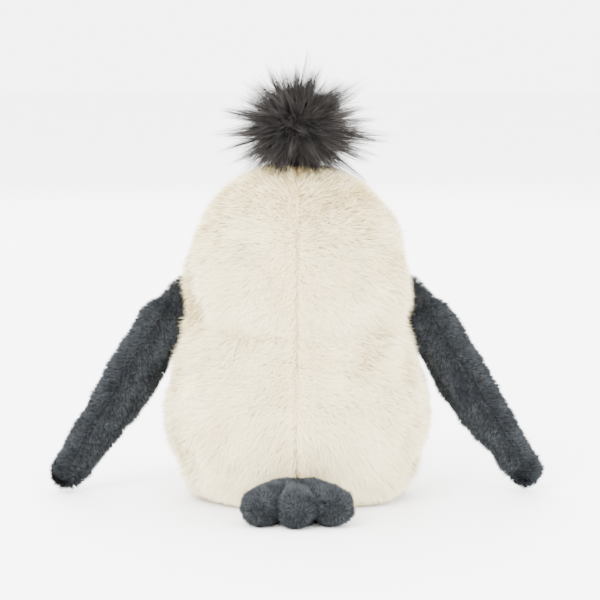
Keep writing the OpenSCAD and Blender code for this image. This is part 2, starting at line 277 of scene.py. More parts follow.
def swell(piece: bpy.types.Object, pins: np.ndarray, pressure: float, cap: float) -> None:
    """Blows a closed cloth skin up by simulation while its seams hold it.

    Args:
        piece: The skin.
        pins: How firmly each vertex is held, from 0 to 1.
        pressure: Pressure of the stuffing.
        cap: Farthest that a vertex may move.
    """
    start = vertices_of(piece)
    held = piece.vertex_groups.new(name="seams")
    for level in range(1, PIN_LEVELS + 1):
        chosen = np.nonzero((pins > (level - 0.5) / PIN_LEVELS) & (pins <= (level + 0.5) / PIN_LEVELS))[0]
        held.add(chosen.tolist(), level / PIN_LEVELS, "REPLACE")
    cloth = piece.modifiers.new("cloth", "CLOTH")
    settings = cloth.settings
    settings.quality = 4
    settings.mass = CLOTH_MASS
    settings.use_pressure = True
    settings.uniform_pressure_force = pressure
    settings.vertex_group_mass = held.name
    settings.effector_weights.gravity = 0
    for step in range(1, CLOTH_STEPS + 1):
        bpy.context.scene.frame_set(step)
    finish_modifier(piece, cloth)
    bpy.context.scene.frame_set(1)
    piece.vertex_groups.clear()
    moved = vertices_of(piece) - start
    length = np.linalg.norm(moved, axis=1, keepdims=True)
    log.info("  %s swells by %.2f mm at most, %.2f mm on average",
             piece.name, length.max() / MM, length.mean() / MM)
    place_vertices(piece, start + moved * np.minimum(1, cap / np.maximum(length, 1e-9)))


def push_out(piece: bpy.types.Object, distance: "np.ndarray | float") -> None:
    """Moves each vertex along its normal."""
    shift = np.broadcast_to(np.asarray(distance, float), (len(piece.data.vertices),))
    place_vertices(piece, vertices_of(piece) + shift[:, None] * normals_of(piece))


def cut_away(
    piece: bpy.types.Object, point: Sequence[float], normal: Sequence[float], fill: bool = False
) -> None:
    """Cuts a mesh along a plane and drops what lies on the normal's side.

    Args:
        piece: The mesh.
        point: A point of the plane.
        normal: Direction of the side that is dropped.
        fill: Whether the cut is closed by a face.
    """
    only(piece)
    bpy.ops.object.mode_set(mode="EDIT")
    bpy.ops.mesh.select_all(action="SELECT")
    bpy.ops.mesh.bisect(plane_co=point, plane_no=normal, clear_outer=True, use_fill=fill, threshold=1e-6)
    bpy.ops.object.mode_set(mode="OBJECT")


def thicken(piece: bpy.types.Object, thickness: float) -> None:
    """Gives an open sheet a wall that grows inwards.

    Args:
        piece: The sheet.
        thickness: The wall's thickness.
    """
    wall = piece.modifiers.new("wall", "SOLIDIFY")
    wall.thickness = thickness
    wall.offset = -1
    finish_modifier(piece, wall)


def face_smoothly(piece: bpy.types.Object, angle: float = math.radians(50)) -> None:
    """Shades a piece smooth except across sharp edges."""
    only(piece)
    bpy.ops.object.shade_smooth_by_angle(angle=angle)


def dress(piece: bpy.types.Object, material: bpy.types.Material, slot: str) -> None:
    """Gives a piece its one material.

    Args:
        piece: The piece.
        material: Its material.
        slot: The record's material slot; not used.
    """
    piece.data.materials.clear()
    piece.data.materials.append(material)


# ---------------------------------------------------------------- finishes


def shader_group(
    name: str, inputs: Sequence[tuple[str, str]], outputs: Sequence[tuple[str, str]]
) -> bpy.types.ShaderNodeTree:
    """Makes a node group with its input and output nodes.

    Args:
        name: Name of the group.
        inputs: Name and type of each input socket.
        outputs: Name and type of each output socket.

    Returns:
        The group.
    """
    group = bpy.data.node_groups.new(name, "ShaderNodeTree")
    for label, kind in inputs:
        group.interface.new_socket(name=label, in_out="INPUT", socket_type=kind)
    for label, kind in outputs:
        group.interface.new_socket(name=label, in_out="OUTPUT", socket_type=kind)
    group.nodes.new("NodeGroupInput")
    group.nodes.new("NodeGroupOutput")
    return group


def pile_colour_group() -> bpy.types.ShaderNodeTree:
    """Group that colours a fibre by its own shade and by the way along it.

    Returns:
        The group. Its inputs are the root colour and the dark, middle and light tip colours.
    """
    tones = ("Root", "Dark", "Middle", "Light")
    group = shader_group("fibre colour", [*((tone, "NodeSocketColor") for tone in tones),
                                          ("Shade", "NodeSocketFloat"), ("Along", "NodeSocketFloat")],
                         [("Color", "NodeSocketColor")])
    nodes, links = group.nodes, group.links
    source, result = nodes["Group Input"], nodes["Group Output"]
    tips = source.outputs["Dark"]
    for start, tone in ((0.0, "Middle"), (0.5, "Light")):
        share = nodes.new("ShaderNodeMapRange")
        share.inputs["From Min"].default_value = start
        share.inputs["From Max"].default_value = start + 0.5
        mix = nodes.new("ShaderNodeMix")
        mix.data_type = "RGBA"
        links.new(source.outputs["Shade"], share.inputs["Value"])
        links.new(share.outputs["Result"], mix.inputs["Factor"])
        links.new(tips, mix.inputs[6])
        links.new(source.outputs[tone], mix.inputs[7])
        tips = mix.outputs[2]
    whole = nodes.new("ShaderNodeMix")
    whole.data_type = "RGBA"
    links.new(source.outputs["Along"], whole.inputs["Factor"])
    links.new(source.outputs["Root"], whole.inputs[6])
    links.new(tips, whole.inputs[7])
    links.new(whole.outputs[2], result.inputs["Color"])
    return group


def grain_group() -> bpy.types.ShaderNodeTree:
    """Group that gives woven, knitted or fibrous cloth its mottling and its height.

    Returns:
        The group. Its inputs are two colours and two scales, and its outputs are a colour and a height.
    """
    group = shader_group("cloth grain",
                         [("Light", "NodeSocketColor"), ("Dark", "NodeSocketColor"),
                          ("Fine", "NodeSocketFloat"), ("Broad", "NodeSocketFloat")],
                         [("Color", "NodeSocketColor"), ("Height", "NodeSocketFloat")])
    nodes, links = group.nodes, group.links
    source, result = nodes["Group Input"], nodes["Group Output"]
    where = nodes.new("ShaderNodeTexCoord")
    threads = nodes.new("ShaderNodeTexVoronoi")
    patches = nodes.new("ShaderNodeTexNoise")
    patches.inputs["Detail"].default_value = 3
    for texture, scale in ((threads, "Fine"), (patches, "Broad")):
        links.new(where.outputs["Object"], texture.inputs["Vector"])
        links.new(source.outputs[scale], texture.inputs["Scale"])
    both = nodes.new("ShaderNodeMath")
    both.operation = "MULTIPLY"
    links.new(threads.outputs["Distance"], both.inputs[0])
    links.new(patches.outputs[0], both.inputs[1])
    mix = nodes.new("ShaderNodeMix")
    mix.data_type = "RGBA"
    links.new(both.outputs[0], mix.inputs["Factor"])
    links.new(source.outputs["Light"], mix.inputs[6])
    links.new(source.outputs["Dark"], mix.inputs[7])
    links.new(mix.outputs[2], result.inputs["Color"])
    links.new(threads.outputs["Distance"], result.inputs["Height"])
    return group


GROUPS: dict[str, bpy.types.ShaderNodeTree] = {}


def shared_group(
    name: str, build: Callable[[], bpy.types.ShaderNodeTree]
) -> bpy.types.ShaderNodeTree:
    """The group of that name, built the first time that it is asked for.

    Args:
        name: Name that the group is kept under.
        build: Builds the group.

    Returns:
        The group.
    """
    if name not in GROUPS:
        GROUPS[name] = build()
    return GROUPS[name]


def blank_material(name: str) -> tuple[bpy.types.Material, bpy.types.ShaderNode]:
    """New material and its Principled shader.

    Args:
        name: The material's name.

    Returns:
        The material and the shader.
    """
    material = bpy.data.materials.new(name)
    material.use_nodes = True
    return material, material.node_tree.nodes["Principled BSDF"]


def add_grain(
    material: bpy.types.Material, light: Sequence[float], dark: Sequence[float], fine: float, broad: float
) -> bpy.types.ShaderNode:
    """Adds the grain group to a material.

    Args:
        material: The material.
        light: Its light colour.
        dark: Its dark colour.
        fine: Scale of the threads or marks.
        broad: Scale of the patches.

    Returns:
        The group's node.
    """
    grain = material.node_tree.nodes.new("ShaderNodeGroup")
    grain.node_tree = shared_group("grain", grain_group)
    grain.inputs["Light"].default_value = (*light, 1)
    grain.inputs["Dark"].default_value = (*dark, 1)
    grain.inputs["Fine"].default_value = fine
    grain.inputs["Broad"].default_value = broad
    return grain


@dataclass(frozen=True)
class PileFinish:
    """Fibres that change colour from root to tip, with dark, middle and light fibres among them."""

    name: str
    root: tuple[float, float, float]
    dark: tuple[float, float, float]
    middle: tuple[float, float, float]
    light: tuple[float, float, float]
    roughness: float = 0.6
    sheen: float = 0.0
    specular: float = 0.3

    def material(self) -> bpy.types.Material:
        """Builds the material.

        Returns:
            The material.
        """
        material, shader = blank_material(self.name)
        nodes, links = material.node_tree.nodes, material.node_tree.links
        colour = nodes.new("ShaderNodeGroup")
        colour.node_tree = shared_group("fibre", pile_colour_group)
        tones = {"Root": self.root, "Dark": self.dark, "Middle": self.middle, "Light": self.light}
        for tone, value in tones.items():
            colour.inputs[tone].default_value = (*value, 1)
        for label, attribute in (("Shade", "shade"), ("Along", "along")):
            read = nodes.new("ShaderNodeAttribute")
            read.attribute_name = attribute
            links.new(read.outputs["Fac"], colour.inputs[label])
        links.new(colour.outputs["Color"], shader.inputs["Base Color"])
        shader.inputs["Roughness"].default_value = self.roughness
        shader.inputs["Specular IOR Level"].default_value = self.specular
        shader.inputs["Sheen Weight"].default_value = self.sheen
        shader.inputs["Sheen Roughness"].default_value = 0.5
        return material


@dataclass(frozen=True)
class ClothFinish:
    """Woven, knitted or fibrous cloth with a fine grain and broad patches."""

    name: str
    light: tuple[float, float, float]
    dark: tuple[float, float, float]
    fine: float = 1400.0
    broad: float = 60.0
    roughness: float = 0.9
    depth: float = 0.3
    specular: float = 0.15

    def material(self) -> bpy.types.Material:
        """Builds the material.

        Returns:
            The material.
        """
        material, shader = blank_material(self.name)
        nodes, links = material.node_tree.nodes, material.node_tree.links
        grain = add_grain(material, self.light, self.dark, self.fine, self.broad)
        relief = nodes.new("ShaderNodeBump")
        relief.inputs["Strength"].default_value = self.depth
        relief.inputs["Distance"].default_value = 0.3 * MM
        links.new(grain.outputs["Color"], shader.inputs["Base Color"])
        links.new(grain.outputs["Height"], relief.inputs["Height"])
        links.new(relief.outputs["Normal"], shader.inputs["Normal"])
        shader.inputs["Roughness"].default_value = self.roughness
        shader.inputs["Specular IOR Level"].default_value = self.specular
        return material


@dataclass(frozen=True)
class PlasticFinish:
    """Moulded plastic with faint handling marks in its gloss."""

    name: str
    light: tuple[float, float, float]
    dark: tuple[float, float, float]
    gloss: tuple[float, float]
    fine: float = 500.0
    broad: float = 120.0
    specular: float = 0.5

    def material(self) -> bpy.types.Material:
        """Builds the material.

        Returns:
            The material.
        """
        material, shader = blank_material(self.name)
        nodes, links = material.node_tree.nodes, material.node_tree.links
        grain = add_grain(material, self.light, self.dark, self.fine, self.broad)
        marks = nodes.new("ShaderNodeMapRange")
        marks.inputs["To Min"].default_value = self.gloss[0]
        marks.inputs["To Max"].default_value = self.gloss[1]
        links.new(grain.outputs["Height"], marks.inputs["Value"])
        links.new(marks.outputs["Result"], shader.inputs["Roughness"])
        links.new(grain.outputs["Color"], shader.inputs["Base Color"])
        shader.inputs["Specular IOR Level"].default_value = self.specular
        return material


@dataclass
class Wardrobe:
    """Every finish of the toy, made once."""

    cream_pile: bpy.types.Material = field(default_factory=lambda: PileFinish(
        "cream pile", (0.90, 0.76, 0.44), (0.62, 0.43, 0.21), (0.92, 0.815, 0.52), (0.98, 0.91, 0.63),
        sheen=0.05).material())
    slate_pile: bpy.types.Material = field(default_factory=lambda: PileFinish(
        "slate pile", (0.0012, 0.0015, 0.002), (0.006, 0.0075, 0.009), (0.022, 0.0262, 0.0305),
        (0.053, 0.0605, 0.066), specular=0.10).material())
    # charcoal hair: its near-black root colour is the hair's own dark root and also painted shade of the tuft's
    # shaded middle
    charcoal_hair: bpy.types.Material = field(default_factory=lambda: PileFinish(
        "charcoal hair", (0.001, 0.0008, 0.0008), (0.009, 0.008, 0.0073), (0.044, 0.038, 0.035),
        (0.190, 0.167, 0.154), roughness=0.5, specular=0.10).material())
    tan_backing: bpy.types.Material = field(default_factory=lambda: ClothFinish(
        "tan knit backing", (0.78, 0.66, 0.47), (0.52, 0.40, 0.26)).material())
    slate_backing: bpy.types.Material = field(default_factory=lambda: ClothFinish(
        "slate knit backing", (0.020, 0.022, 0.024), (0.008, 0.009, 0.010)).material())
    charcoal_backing: bpy.types.Material = field(default_factory=lambda: ClothFinish(
        "charcoal knit backing", (0.010, 0.009, 0.009), (0.004, 0.004, 0.004)).material())
    filling: bpy.types.Material = field(default_factory=lambda: ClothFinish(
        "fibre filling", (0.86, 0.86, 0.85), (0.62, 0.62, 0.61), fine=420, broad=30, depth=0.9).material())
    lining: bpy.types.Material = field(default_factory=lambda: ClothFinish(
        "woven lining", (0.70, 0.67, 0.60), (0.50, 0.47, 0.41), fine=1800, depth=0.4).material())
    pellets: bpy.types.Material = field(default_factory=lambda: ClothFinish(
        "plastic pellets", (0.62, 0.62, 0.60), (0.25, 0.25, 0.24),
        fine=320, roughness=0.4, depth=1.0).material())
    eye: bpy.types.Material = field(default_factory=lambda: PlasticFinish(
        "polished black plastic", (0.0006, 0.0006, 0.0006), (0.002, 0.002, 0.002), (0.06, 0.14),
        specular=0.05).material())
    washer: bpy.types.Material = field(default_factory=lambda: PlasticFinish(
        "moulded white plastic", (0.72, 0.72, 0.70), (0.60, 0.60, 0.58), (0.35, 0.5)).material())


# ---------------------------------------------------------------- standing pile


@dataclass(frozen=True)
class PileStyle:
    """How one kind of pile stands."""

    length: float
    width: float
    rise: float  # angle from the skin's normal at the root, in degrees
    lie: float  # the same angle at the tip
    spread: float = 0.35  # share by which lengths differ
    tousle: float = 0.25  # how far single fibres stray from the flow
    clump: float = 0.45  # how far tips draw together
    clump_size: float = 2.4 * MM
    unrest: float = 14.0  # how differently neighbouring groups of fibres lean, in degrees
    fade: float = 1.0  # how late along a fibre its tip's colour comes
    steps: int = 2


@dataclass
class Skin:
    """Triangles that fibres grow on."""

    corners: np.ndarray
    normals: np.ndarray

    @classmethod
    def of(cls, piece: bpy.types.Object) -> "Skin":
        """Reads a mesh's triangles and the normals at their corners.

        Args:
            piece: The mesh.

        Returns:
            The skin.
        """
        mesh = piece.data
        mesh.calc_loop_triangles()
        index = np.empty(len(mesh.loop_triangles) * 3, np.int32)
        mesh.loop_triangles.foreach_get("vertices", index)
        index = index.reshape(-1, 3)
        return cls(vertices_of(piece)[index], normals_of(piece)[index])

    def scatter(
        self, count: int, draw: np.random.Generator, keep: "Where | None"
    ) -> tuple[np.ndarray, np.ndarray]:
        """Random places on the skin, evenly by area, and the normals there.

        Args:
            count: How many places are drawn.
            draw: The random source.
            keep: Gives the chance that a place is kept, or None for all.

        Returns:
            The places and the normals.
        """
        side_a = self.corners[:, 1] - self.corners[:, 0]
        side_b = self.corners[:, 2] - self.corners[:, 0]
        area = np.linalg.norm(np.cross(side_a, side_b), axis=1)
        face = draw.choice(len(area), count, p=area / area.sum())
        u, v = draw.random((2, count))
        fold = u + v > 1
        u[fold], v[fold] = 1 - u[fold], 1 - v[fold]
        shares = np.stack([1 - u - v, u, v], 1)[:, :, None]
        places = (self.corners[face] * shares).sum(1)
        normals = unit((self.normals[face] * shares).sum(1))
        if keep is not None:
            kept = draw.random(count) < keep(places)
            places, normals = places[kept], normals[kept]
        return places, normals


def clumps(places: np.ndarray, size: float, seed: int) -> tuple[np.ndarray, np.ndarray]:
    """Gathers places into small random groups.

    Args:
        places: The places.
        size: Size of a group.
        seed: Picks the groups.

    Returns:
        The way from each place to its group's middle, and a random number from 0 to 1 for the group.
    """
    warp = np.stack([Ripple(seed + k, 4 * size, 6).at(places) for k in range(3)], 1)
    cell = np.floor(places / size + 0.45 * warp)
    mixed = np.sin(cell @ np.array([12.9898, 78.233, 37.719]) + seed) * 43758.5453
    value = mixed - np.floor(mixed)
    nudge = np.stack([np.modf(np.abs(mixed) * k)[0] for k in (1.7, 3.1, 5.3)], 1) - 0.5
    middle = (cell - 0.45 * warp + 0.5 + 0.5 * nudge) * size
    return middle - places, value


def ribbons(
    name: str,
    path: np.ndarray,
    facing: np.ndarray,
    width: float,
    shades: np.ndarray,
    draw: np.random.Generator,
    point: float = 0.55,
    fade: float = 1.0,
) -> bpy.types.Object:
    """Builds thin tapered ribbons along paths, one per fibre.

    Args:
        name: Name of the object.
        path: Places along each fibre, root first.
        facing: Direction that each ribbon's flat side looks in, as nearly as it can.
        width: Mean width at the root.
        shades: Shade of each fibre, from 0 to 1.
        draw: The random source.
        point: Share of the width that is lost before the last stretch.
        fade: How late the tip's colour comes: 1 for evenly, more for later.

    Returns:
        The object.
    """
    count, steps = len(path), path.shape[1] - 1
    way = unit(path[:, 1:] - path[:, :-1])
    across = unit(np.cross(way, facing[:, None, :]) + 1e-6)
    turn = np.radians(draw.uniform(-30, 30, count))[:, None, None]
    across = across * np.cos(turn) + np.cross(way, across) * np.sin(turn)
    half = 0.5 * width * draw.uniform(0.7, 1.3, count)[:, None, None]
    taper = (1 - point * np.arange(steps) / steps)[None, :, None]
    stride = 2 * steps + 1
    places = np.empty((count, stride, 3))
    places[:, 0:-1:2] = path[:, :-1] - across * half * taper
    places[:, 1:-1:2] = path[:, :-1] + across * half * taper
    places[:, -1] = path[:, -1]
    front = np.cross(across, way)
    soft = unit(0.75 * facing[:, None, :] + 0.55 * front + draw.normal(0, 0.12, (count, 1, 3)))
    soft = np.repeat(np.concatenate([soft, soft[:, -1:]], 1), 2, axis=1)[:, :stride]
    along = np.append(np.repeat(np.arange(steps) / steps, 2), 1.0) ** fade
    corner = []
    for step in range(steps - 1):
        corner += [2 * step, 2 * step + 1, 2 * step + 3, 2 * step + 2]
    corner += [stride - 3, stride - 2, stride - 1]
    counts = np.tile([4] * (steps - 1) + [3], count)
    loops = (np.arange(count)[:, None] * stride + np.array(corner)).ravel()
    mesh = bpy.data.meshes.new(name)
    mesh.vertices.add(count * stride)
    mesh.vertices.foreach_set("co", places.ravel())
    mesh.loops.add(len(loops))
    mesh.loops.foreach_set("vertex_index", loops.astype(np.int32))
    mesh.polygons.add(len(counts))
    mesh.polygons.foreach_set("loop_start", np.concatenate([[0], np.cumsum(counts)[:-1]]).astype(np.int32))
    mesh.update(calc_edges=True)
    for label, values in (("shade", np.repeat(shades, stride)), ("along", np.tile(along, count))):
        attribute = mesh.attributes.new(label, "FLOAT", "POINT")
        attribute.data.foreach_set("value", values.astype(np.float32))
    sideways = np.append(np.tile([-1.0, 1.0], steps), 0.0) * 1.2 / 1024
    u = (0.02 + 0.96 * shades)[:, None] + sideways[None, :]
    v = np.broadcast_to(0.02 + 0.96 * along, u.shape)
    layer = mesh.uv_layers.new(name="OFBake", do_init=False)
    spots = np.stack([u.ravel()[loops], v.ravel()[loops]], 1)
    layer.uv.foreach_set("vector", spots.astype(np.float32).ravel())
    mesh.polygons.foreach_set("use_smooth", np.ones(len(counts), bool))
    mesh.normals_split_custom_set_from_vertices(soft.reshape(-1, 3).astype(np.float32))
    made = bpy.data.objects.new(name, mesh)
    bpy.context.scene.collection.objects.link(made)
    return made


def fibres(
    name: str,
    roots: np.ndarray,
    normals: np.ndarray,
    flow: np.ndarray,
    style: PileStyle,
    lengths: np.ndarray,
    shades: np.ndarray,
    draw: np.random.Generator,
    floor: float = 0.3 * MM,
) -> bpy.types.Object:
    """Builds a pile whose fibres lean over and draw together at their tips.

    Args:
        name: Name of the object.
        roots: Where the fibres grow.
        normals: The skin's normals there.
        flow: Direction along the skin that each fibre leans in.
        style: How the pile stands.
        lengths: Length of each fibre.
        shades: Shade of each fibre, from 0 to 1.
        draw: The random source.
        floor: Lowest height of any fibre.

    Returns:
        The object.
    """
    count, steps = len(roots), style.steps
    stray = draw.normal(size=(count, 3)) * style.tousle
    flow = unit(flow + stray - np.sum(stray * normals, axis=1, keepdims=True) * normals)
    pull, group_value = clumps(roots, style.clump_size, int(draw.integers(1000)))
    pull -= np.sum(pull * normals, axis=1, keepdims=True) * normals
    tilt = draw.normal(0, 7, count) + style.unrest * (group_value - 0.5)
    rows = [roots]
    for step in range(steps):
        t = (step + 0.5) / steps
        angle = np.radians(np.clip(style.rise + (style.lie - style.rise) * t + tilt, 2, 86))[:, None]
        along = np.cos(angle) * normals + np.sin(angle) * flow
        rows.append(rows[-1] + along * (lengths / steps)[:, None] + pull * (style.clump / steps))
    path = np.stack(rows, 1)
    path[:, :, 2] = np.maximum(path[:, :, 2], floor)
    return ribbons(name, path, normals, style.width, shades, draw, fade=style.fade)


@dataclass
class Pile:
    """Pile of one style and finish that can be grown on any skin."""

    style: PileStyle
    material: bpy.types.Material
    slot: str
    seed: int = 1
    # size and strength of broad shade patches: random tone, and on the slate plush also painted sheen mottling
    patch_size: float = 30 * MM
    patchiness: float = 0.10
    shade: float = 0.72
    grouping: float = 0.28  # how differently neighbouring groups are shaded
    mottle: float = 0.14

    def grow(
        self,
        name: str,
        skin: Skin,
        count: int,
        flow: Flow,
        keep: "Where | None" = None,
        longer: "Where | None" = None,
        darker: "Where | None" = None,
    ) -> bpy.types.Object:
        """Grows the pile.

        Args:
            name: Name of the piece.
            skin: What it grows on.
            count: How many fibres are drawn.
            flow: Gives the lean of the pile from places and normals.
            keep: Gives the chance that a fibre is kept.
            longer: Gives a factor on the length.
            darker: Gives the chance that a fibre has the dark colour.

        Returns:
            The dressed piece, on no body yet.
        """
        draw = np.random.default_rng(self.seed)
        roots, normals = skin.scatter(count, draw, keep)
        lengths = self.style.length * (1 + self.style.spread * draw.uniform(-1, 0.6, len(roots)))
        if longer is not None:
            lengths = lengths * longer(roots)
        # broad patches of lighter and darker fibres: random tone, and on the slate plush also painted sheen
        # mottling
        patches = Ripple(self.seed + 50, self.patch_size).at(roots)
        group = clumps(roots, 1.6 * self.style.clump_size, self.seed + 70)[1]
        shades = self.shade + self.patchiness * patches + self.grouping * (group - 0.5)
        shades = shades + draw.normal(0, self.mottle, len(roots))
        if darker is not None:
            is_dark = draw.random(len(roots)) < darker(roots)
            shades = np.where(is_dark, draw.uniform(0, 0.25, len(roots)), shades)
        made = fibres(name, roots, normals, flow(roots, normals), self.style, lengths,
                      np.clip(shades, 0, 1), draw)
        dress(made, self.material, self.slot)
        self.seed += 1
        return made


# ---------------------------------------------------------------- soft pieces


@dataclass
class SoftAssembly:
    """What every stuffed sub-assembly shares: covers cut from one swollen form, stuffing and pile."""

    wardrobe: Wardrobe

    def report(self, piece: bpy.types.Object) -> None:
        """Notes a finished piece in the log."""
        log.info("  made %s: %d faces", piece.name, len(piece.data.polygons))

    def cover(
        self, sheet: bpy.types.Object, node: str, backing: bpy.types.Material, slot: str, wall: float
    ) -> bpy.types.Object:
        """Turns an open sheet into the cloth that stands for a CAD panel.

        Args:
            sheet: The open sheet, which becomes the piece.
            node: The CAD panel that it stands for.
            backing: Material of the cloth.
            slot: The record's material slot.
            wall: Thickness of the cloth.

        Returns:
            The piece, on no body yet.
        """
        sheet.name = node + "_cloth"
        thicken(sheet, wall)
        face_smoothly(sheet)
        dress(sheet, backing, slot)
        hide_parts(node)
        self.report(sheet)
        return sheet

    def stuffing(
        self, form: bpy.types.Object, node: str, inset: float, body: str, fill: float
    ) -> bpy.types.Object:
        """Makes the padding inside a form and sets it on a body.

        Args:
            form: The swollen outer form.
            node: The CAD stuffing that it stands for.
            inset: How far it lies inside the form.
            body: The CAD body that it rides on.
            fill: How tight it is, from 0 to 1; not used.

        Returns:
            The piece.
        """
        made = copy_of(form, node + "_padding")
        push_out(made, -inset)
        face_smoothly(made)
        dress(made, self.wardrobe.filling, "filling")
        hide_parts(node)
        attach(made, body)
        self.report(made)
        return made


@dataclass
class Torso(SoftAssembly):
    """Head and body in one, sewn from five panels."""

    segments: int = 128
    rings: int = 84
    side_seam: float = math.radians(7)
    depth: float = 0.87
    middle: float = 95 * MM  # height of the point that the form is wrapped round
    shrink: float = 1.6 * MM  # how far the form lies inside the CAD panels
    neck_shrink: float = 1.9 * MM  # how much farther at the neck
    neck_height: float = 122 * MM
    cloth: float = 1.6 * MM
    sole_lift: float = 0.9 * MM
    base_radius: float = 56 * MM
    back_fibres: int = 64000
    front_fibres: int = 52000
    base_fibres: int = 2500
    face_height: float = 150 * MM  # between the eyes and the beak
    eye_clear: float = 6.5 * MM  # radius without fibres round an eye's middle
    hole_radius: float = 7 * MM  # hole of the crown, which the form closes
    crown_rise: float = 2.2 * MM
    folds: tuple[tuple[float, float], ...] = ((113, 1.3), (72, 0.5), (53, 0.7))  # heights and depths in mm

    @property
    def seams(self) -> list[float]:
        """Angles of the upright seams round the body."""
        half = math.pi / 2
        return [-self.side_seam, half, 2 * half + self.side_seam, 3 * half, 4 * half - self.side_seam]

    def form(self) -> bpy.types.Object:
        """Wraps a ball onto the CAD panels and lets the stuffing swell it between its seams.

        Returns:
            The swollen outer form.
        """
        panels = [f"{place}_panel" for place in ("back_left", "back_right", "front_left", "front_right", "base")]
        target = copy_of_nodes(panels, "wrap target")
        tree = BVHTree.FromPolygons([tuple(p) for p in vertices_of(target)],
                                    [tuple(face.vertices) for face in target.data.polygons])
        select_nothing()
        bpy.ops.mesh.primitive_uv_sphere_add(segments=self.segments, ring_count=self.rings, radius=1)
        form = bpy.context.view_layer.objects.active
        form.name = "torso form"
        ball = vertices_of(form)
        quarter = np.degrees(np.arctan2(ball[:, 1], ball[:, 0])) % 360 / 90
        low = np.floor(quarter).astype(int) % 4
        seams = np.array(self.seams)
        turn = seams[low] + (quarter - np.floor(quarter)) * (seams[low + 1] - seams[low])
        level = np.hypot(ball[:, 0], ball[:, 1])
        ways = unit(np.stack([level * np.cos(turn), level * self.depth * np.sin(turn), ball[:, 2]], 1))
        centre = np.array([0, 0, self.middle])
        places = np.empty_like(ball)
        for i, way in enumerate(ways):
            hit = tree.ray_cast(Vector(centre + 0.4 * way), Vector(-way))[0]
            places[i] = hit if hit is not None else places[i - 1]
        radius = np.hypot(places[:, 0], places[:, 1])
        crown = (ways[:, 2] > 0.9) & (places[:, 2] < CROWN - 0.2 * MM) & (radius < self.hole_radius)
        places[crown] = centre + ways[crown] * ((CROWN - self.middle) / ways[crown, 2:3])
        radius = np.hypot(places[:, 0], places[:, 1])
        places[:, 2] += self.crown_rise * bump(radius, 24 * MM) * (places[:, 2] > 190 * MM)
        place_vertices(form, places)
        bpy.data.objects.remove(target)
        at_neck = bump(vertices_of(form)[:, 2] - self.neck_height, 28 * MM)
        push_out(form, -self.shrink - self.neck_shrink * at_neck)
        swell(form, self.pins(vertices_of(form)), 3.0, 4.0 * MM)
        self.shape(form)
        return form

    def pins(self, places: np.ndarray) -> np.ndarray:
        """How firmly the seams hold each vertex.

        Args:
            places: The places.

        Returns:
            The hold at each place, from 0 to 1.
        """
        turn = np.arctan2(places[:, 1] / self.depth, places[:, 0])
        radius = np.hypot(places[:, 0], places[:, 1])
        held = np.zeros(len(places))
        for seam in self.seams[:4]:
            gap = np.abs((turn - seam + math.pi) % (2 * math.pi) - math.pi) * radius
            held = np.maximum(held, bump(gap, 2.5 * MM))
        held = np.maximum(held, 0.75 * bump(places[:, 2] - CREASE, 3 * MM))
        held = np.maximum(held, bump(np.maximum(places[:, 2], 0), 3 * MM))
        return np.where(held > 0.5, held, 0)

    def shape(self, form: bpy.types.Object) -> None:
        """Smooths the cloth, adds the slack folds of the belly and flattens the base.

        Args:
            form: The swollen outer form.
        """
        smooth(form, 4)
        places = vertices_of(form)
        slack = Ripple(11, 110 * MM).at(places)
        folds = np.zeros(len(places))
        for height, depth in self.folds:
            wave = height * MM + 2 * MM * slack
            folds += depth * MM * bump(places[:, 2] - wave, 4 * MM)
        push_out(form, 0.25 * MM * slack - folds)
        places = vertices_of(form)
        sole = (places[:, 2] < 20 * MM) & (np.hypot(places[:, 0], places[:, 1]) < 0.75 * self.base_radius)
        gap = max(float(places[sole, 2].max()) - self.sole_lift, 0.0)
        places[:, 2] -= gap * np.clip(1 - places[:, 2] / (30 * MM), 0, 1)
        places[:, 2] = np.maximum(places[:, 2], self.sole_lift)
        place_vertices(form, places)

    def flow(self, places: np.ndarray, normals: np.ndarray) -> np.ndarray:
        """Lie of the body's pile: down, and away from the middle seams.

        Args:
            places: The places.
            normals: The skin's normals there.

        Returns:
            The lie at each place.
        """
        down = tangent(np.broadcast_to(-UP, places.shape), normals)
        side = np.sign(places[:, :1])
        aside = tangent(np.array([1.0, 0, 0]) * side, normals)
        part = bump(places[:, 0], 26 * MM)[:, None]
        wander = np.stack([Ripple(20 + k, 34 * MM).at(places) for k in range(3)], 1)
        return unit(0.9 * down + (0.15 + 0.9 * part) * aside + 0.22 * wander)

    def panel(self, form: bpy.types.Object, name: str, low: float, high: float) -> bpy.types.Object:
        """Cuts the part of the form between two upright seams, above the base.

        Args:
            form: The swollen outer form.
            name: The sheet's name.
            low: Angle of the first seam.
            high: Angle of the next seam.

        Returns:
            The open sheet.
        """
        sheet = copy_of(form, name)
        for angle, sign in ((low, 1), (high, -1)):
            plane = (sign * self.depth * math.sin(angle), -sign * math.cos(angle), 0)
            cut_away(sheet, (0, 0, self.middle), plane)
        cut_away(sheet, (0, 0, self.sole_lift + 0.2 * MM), (0, 0, -1))
        return sheet

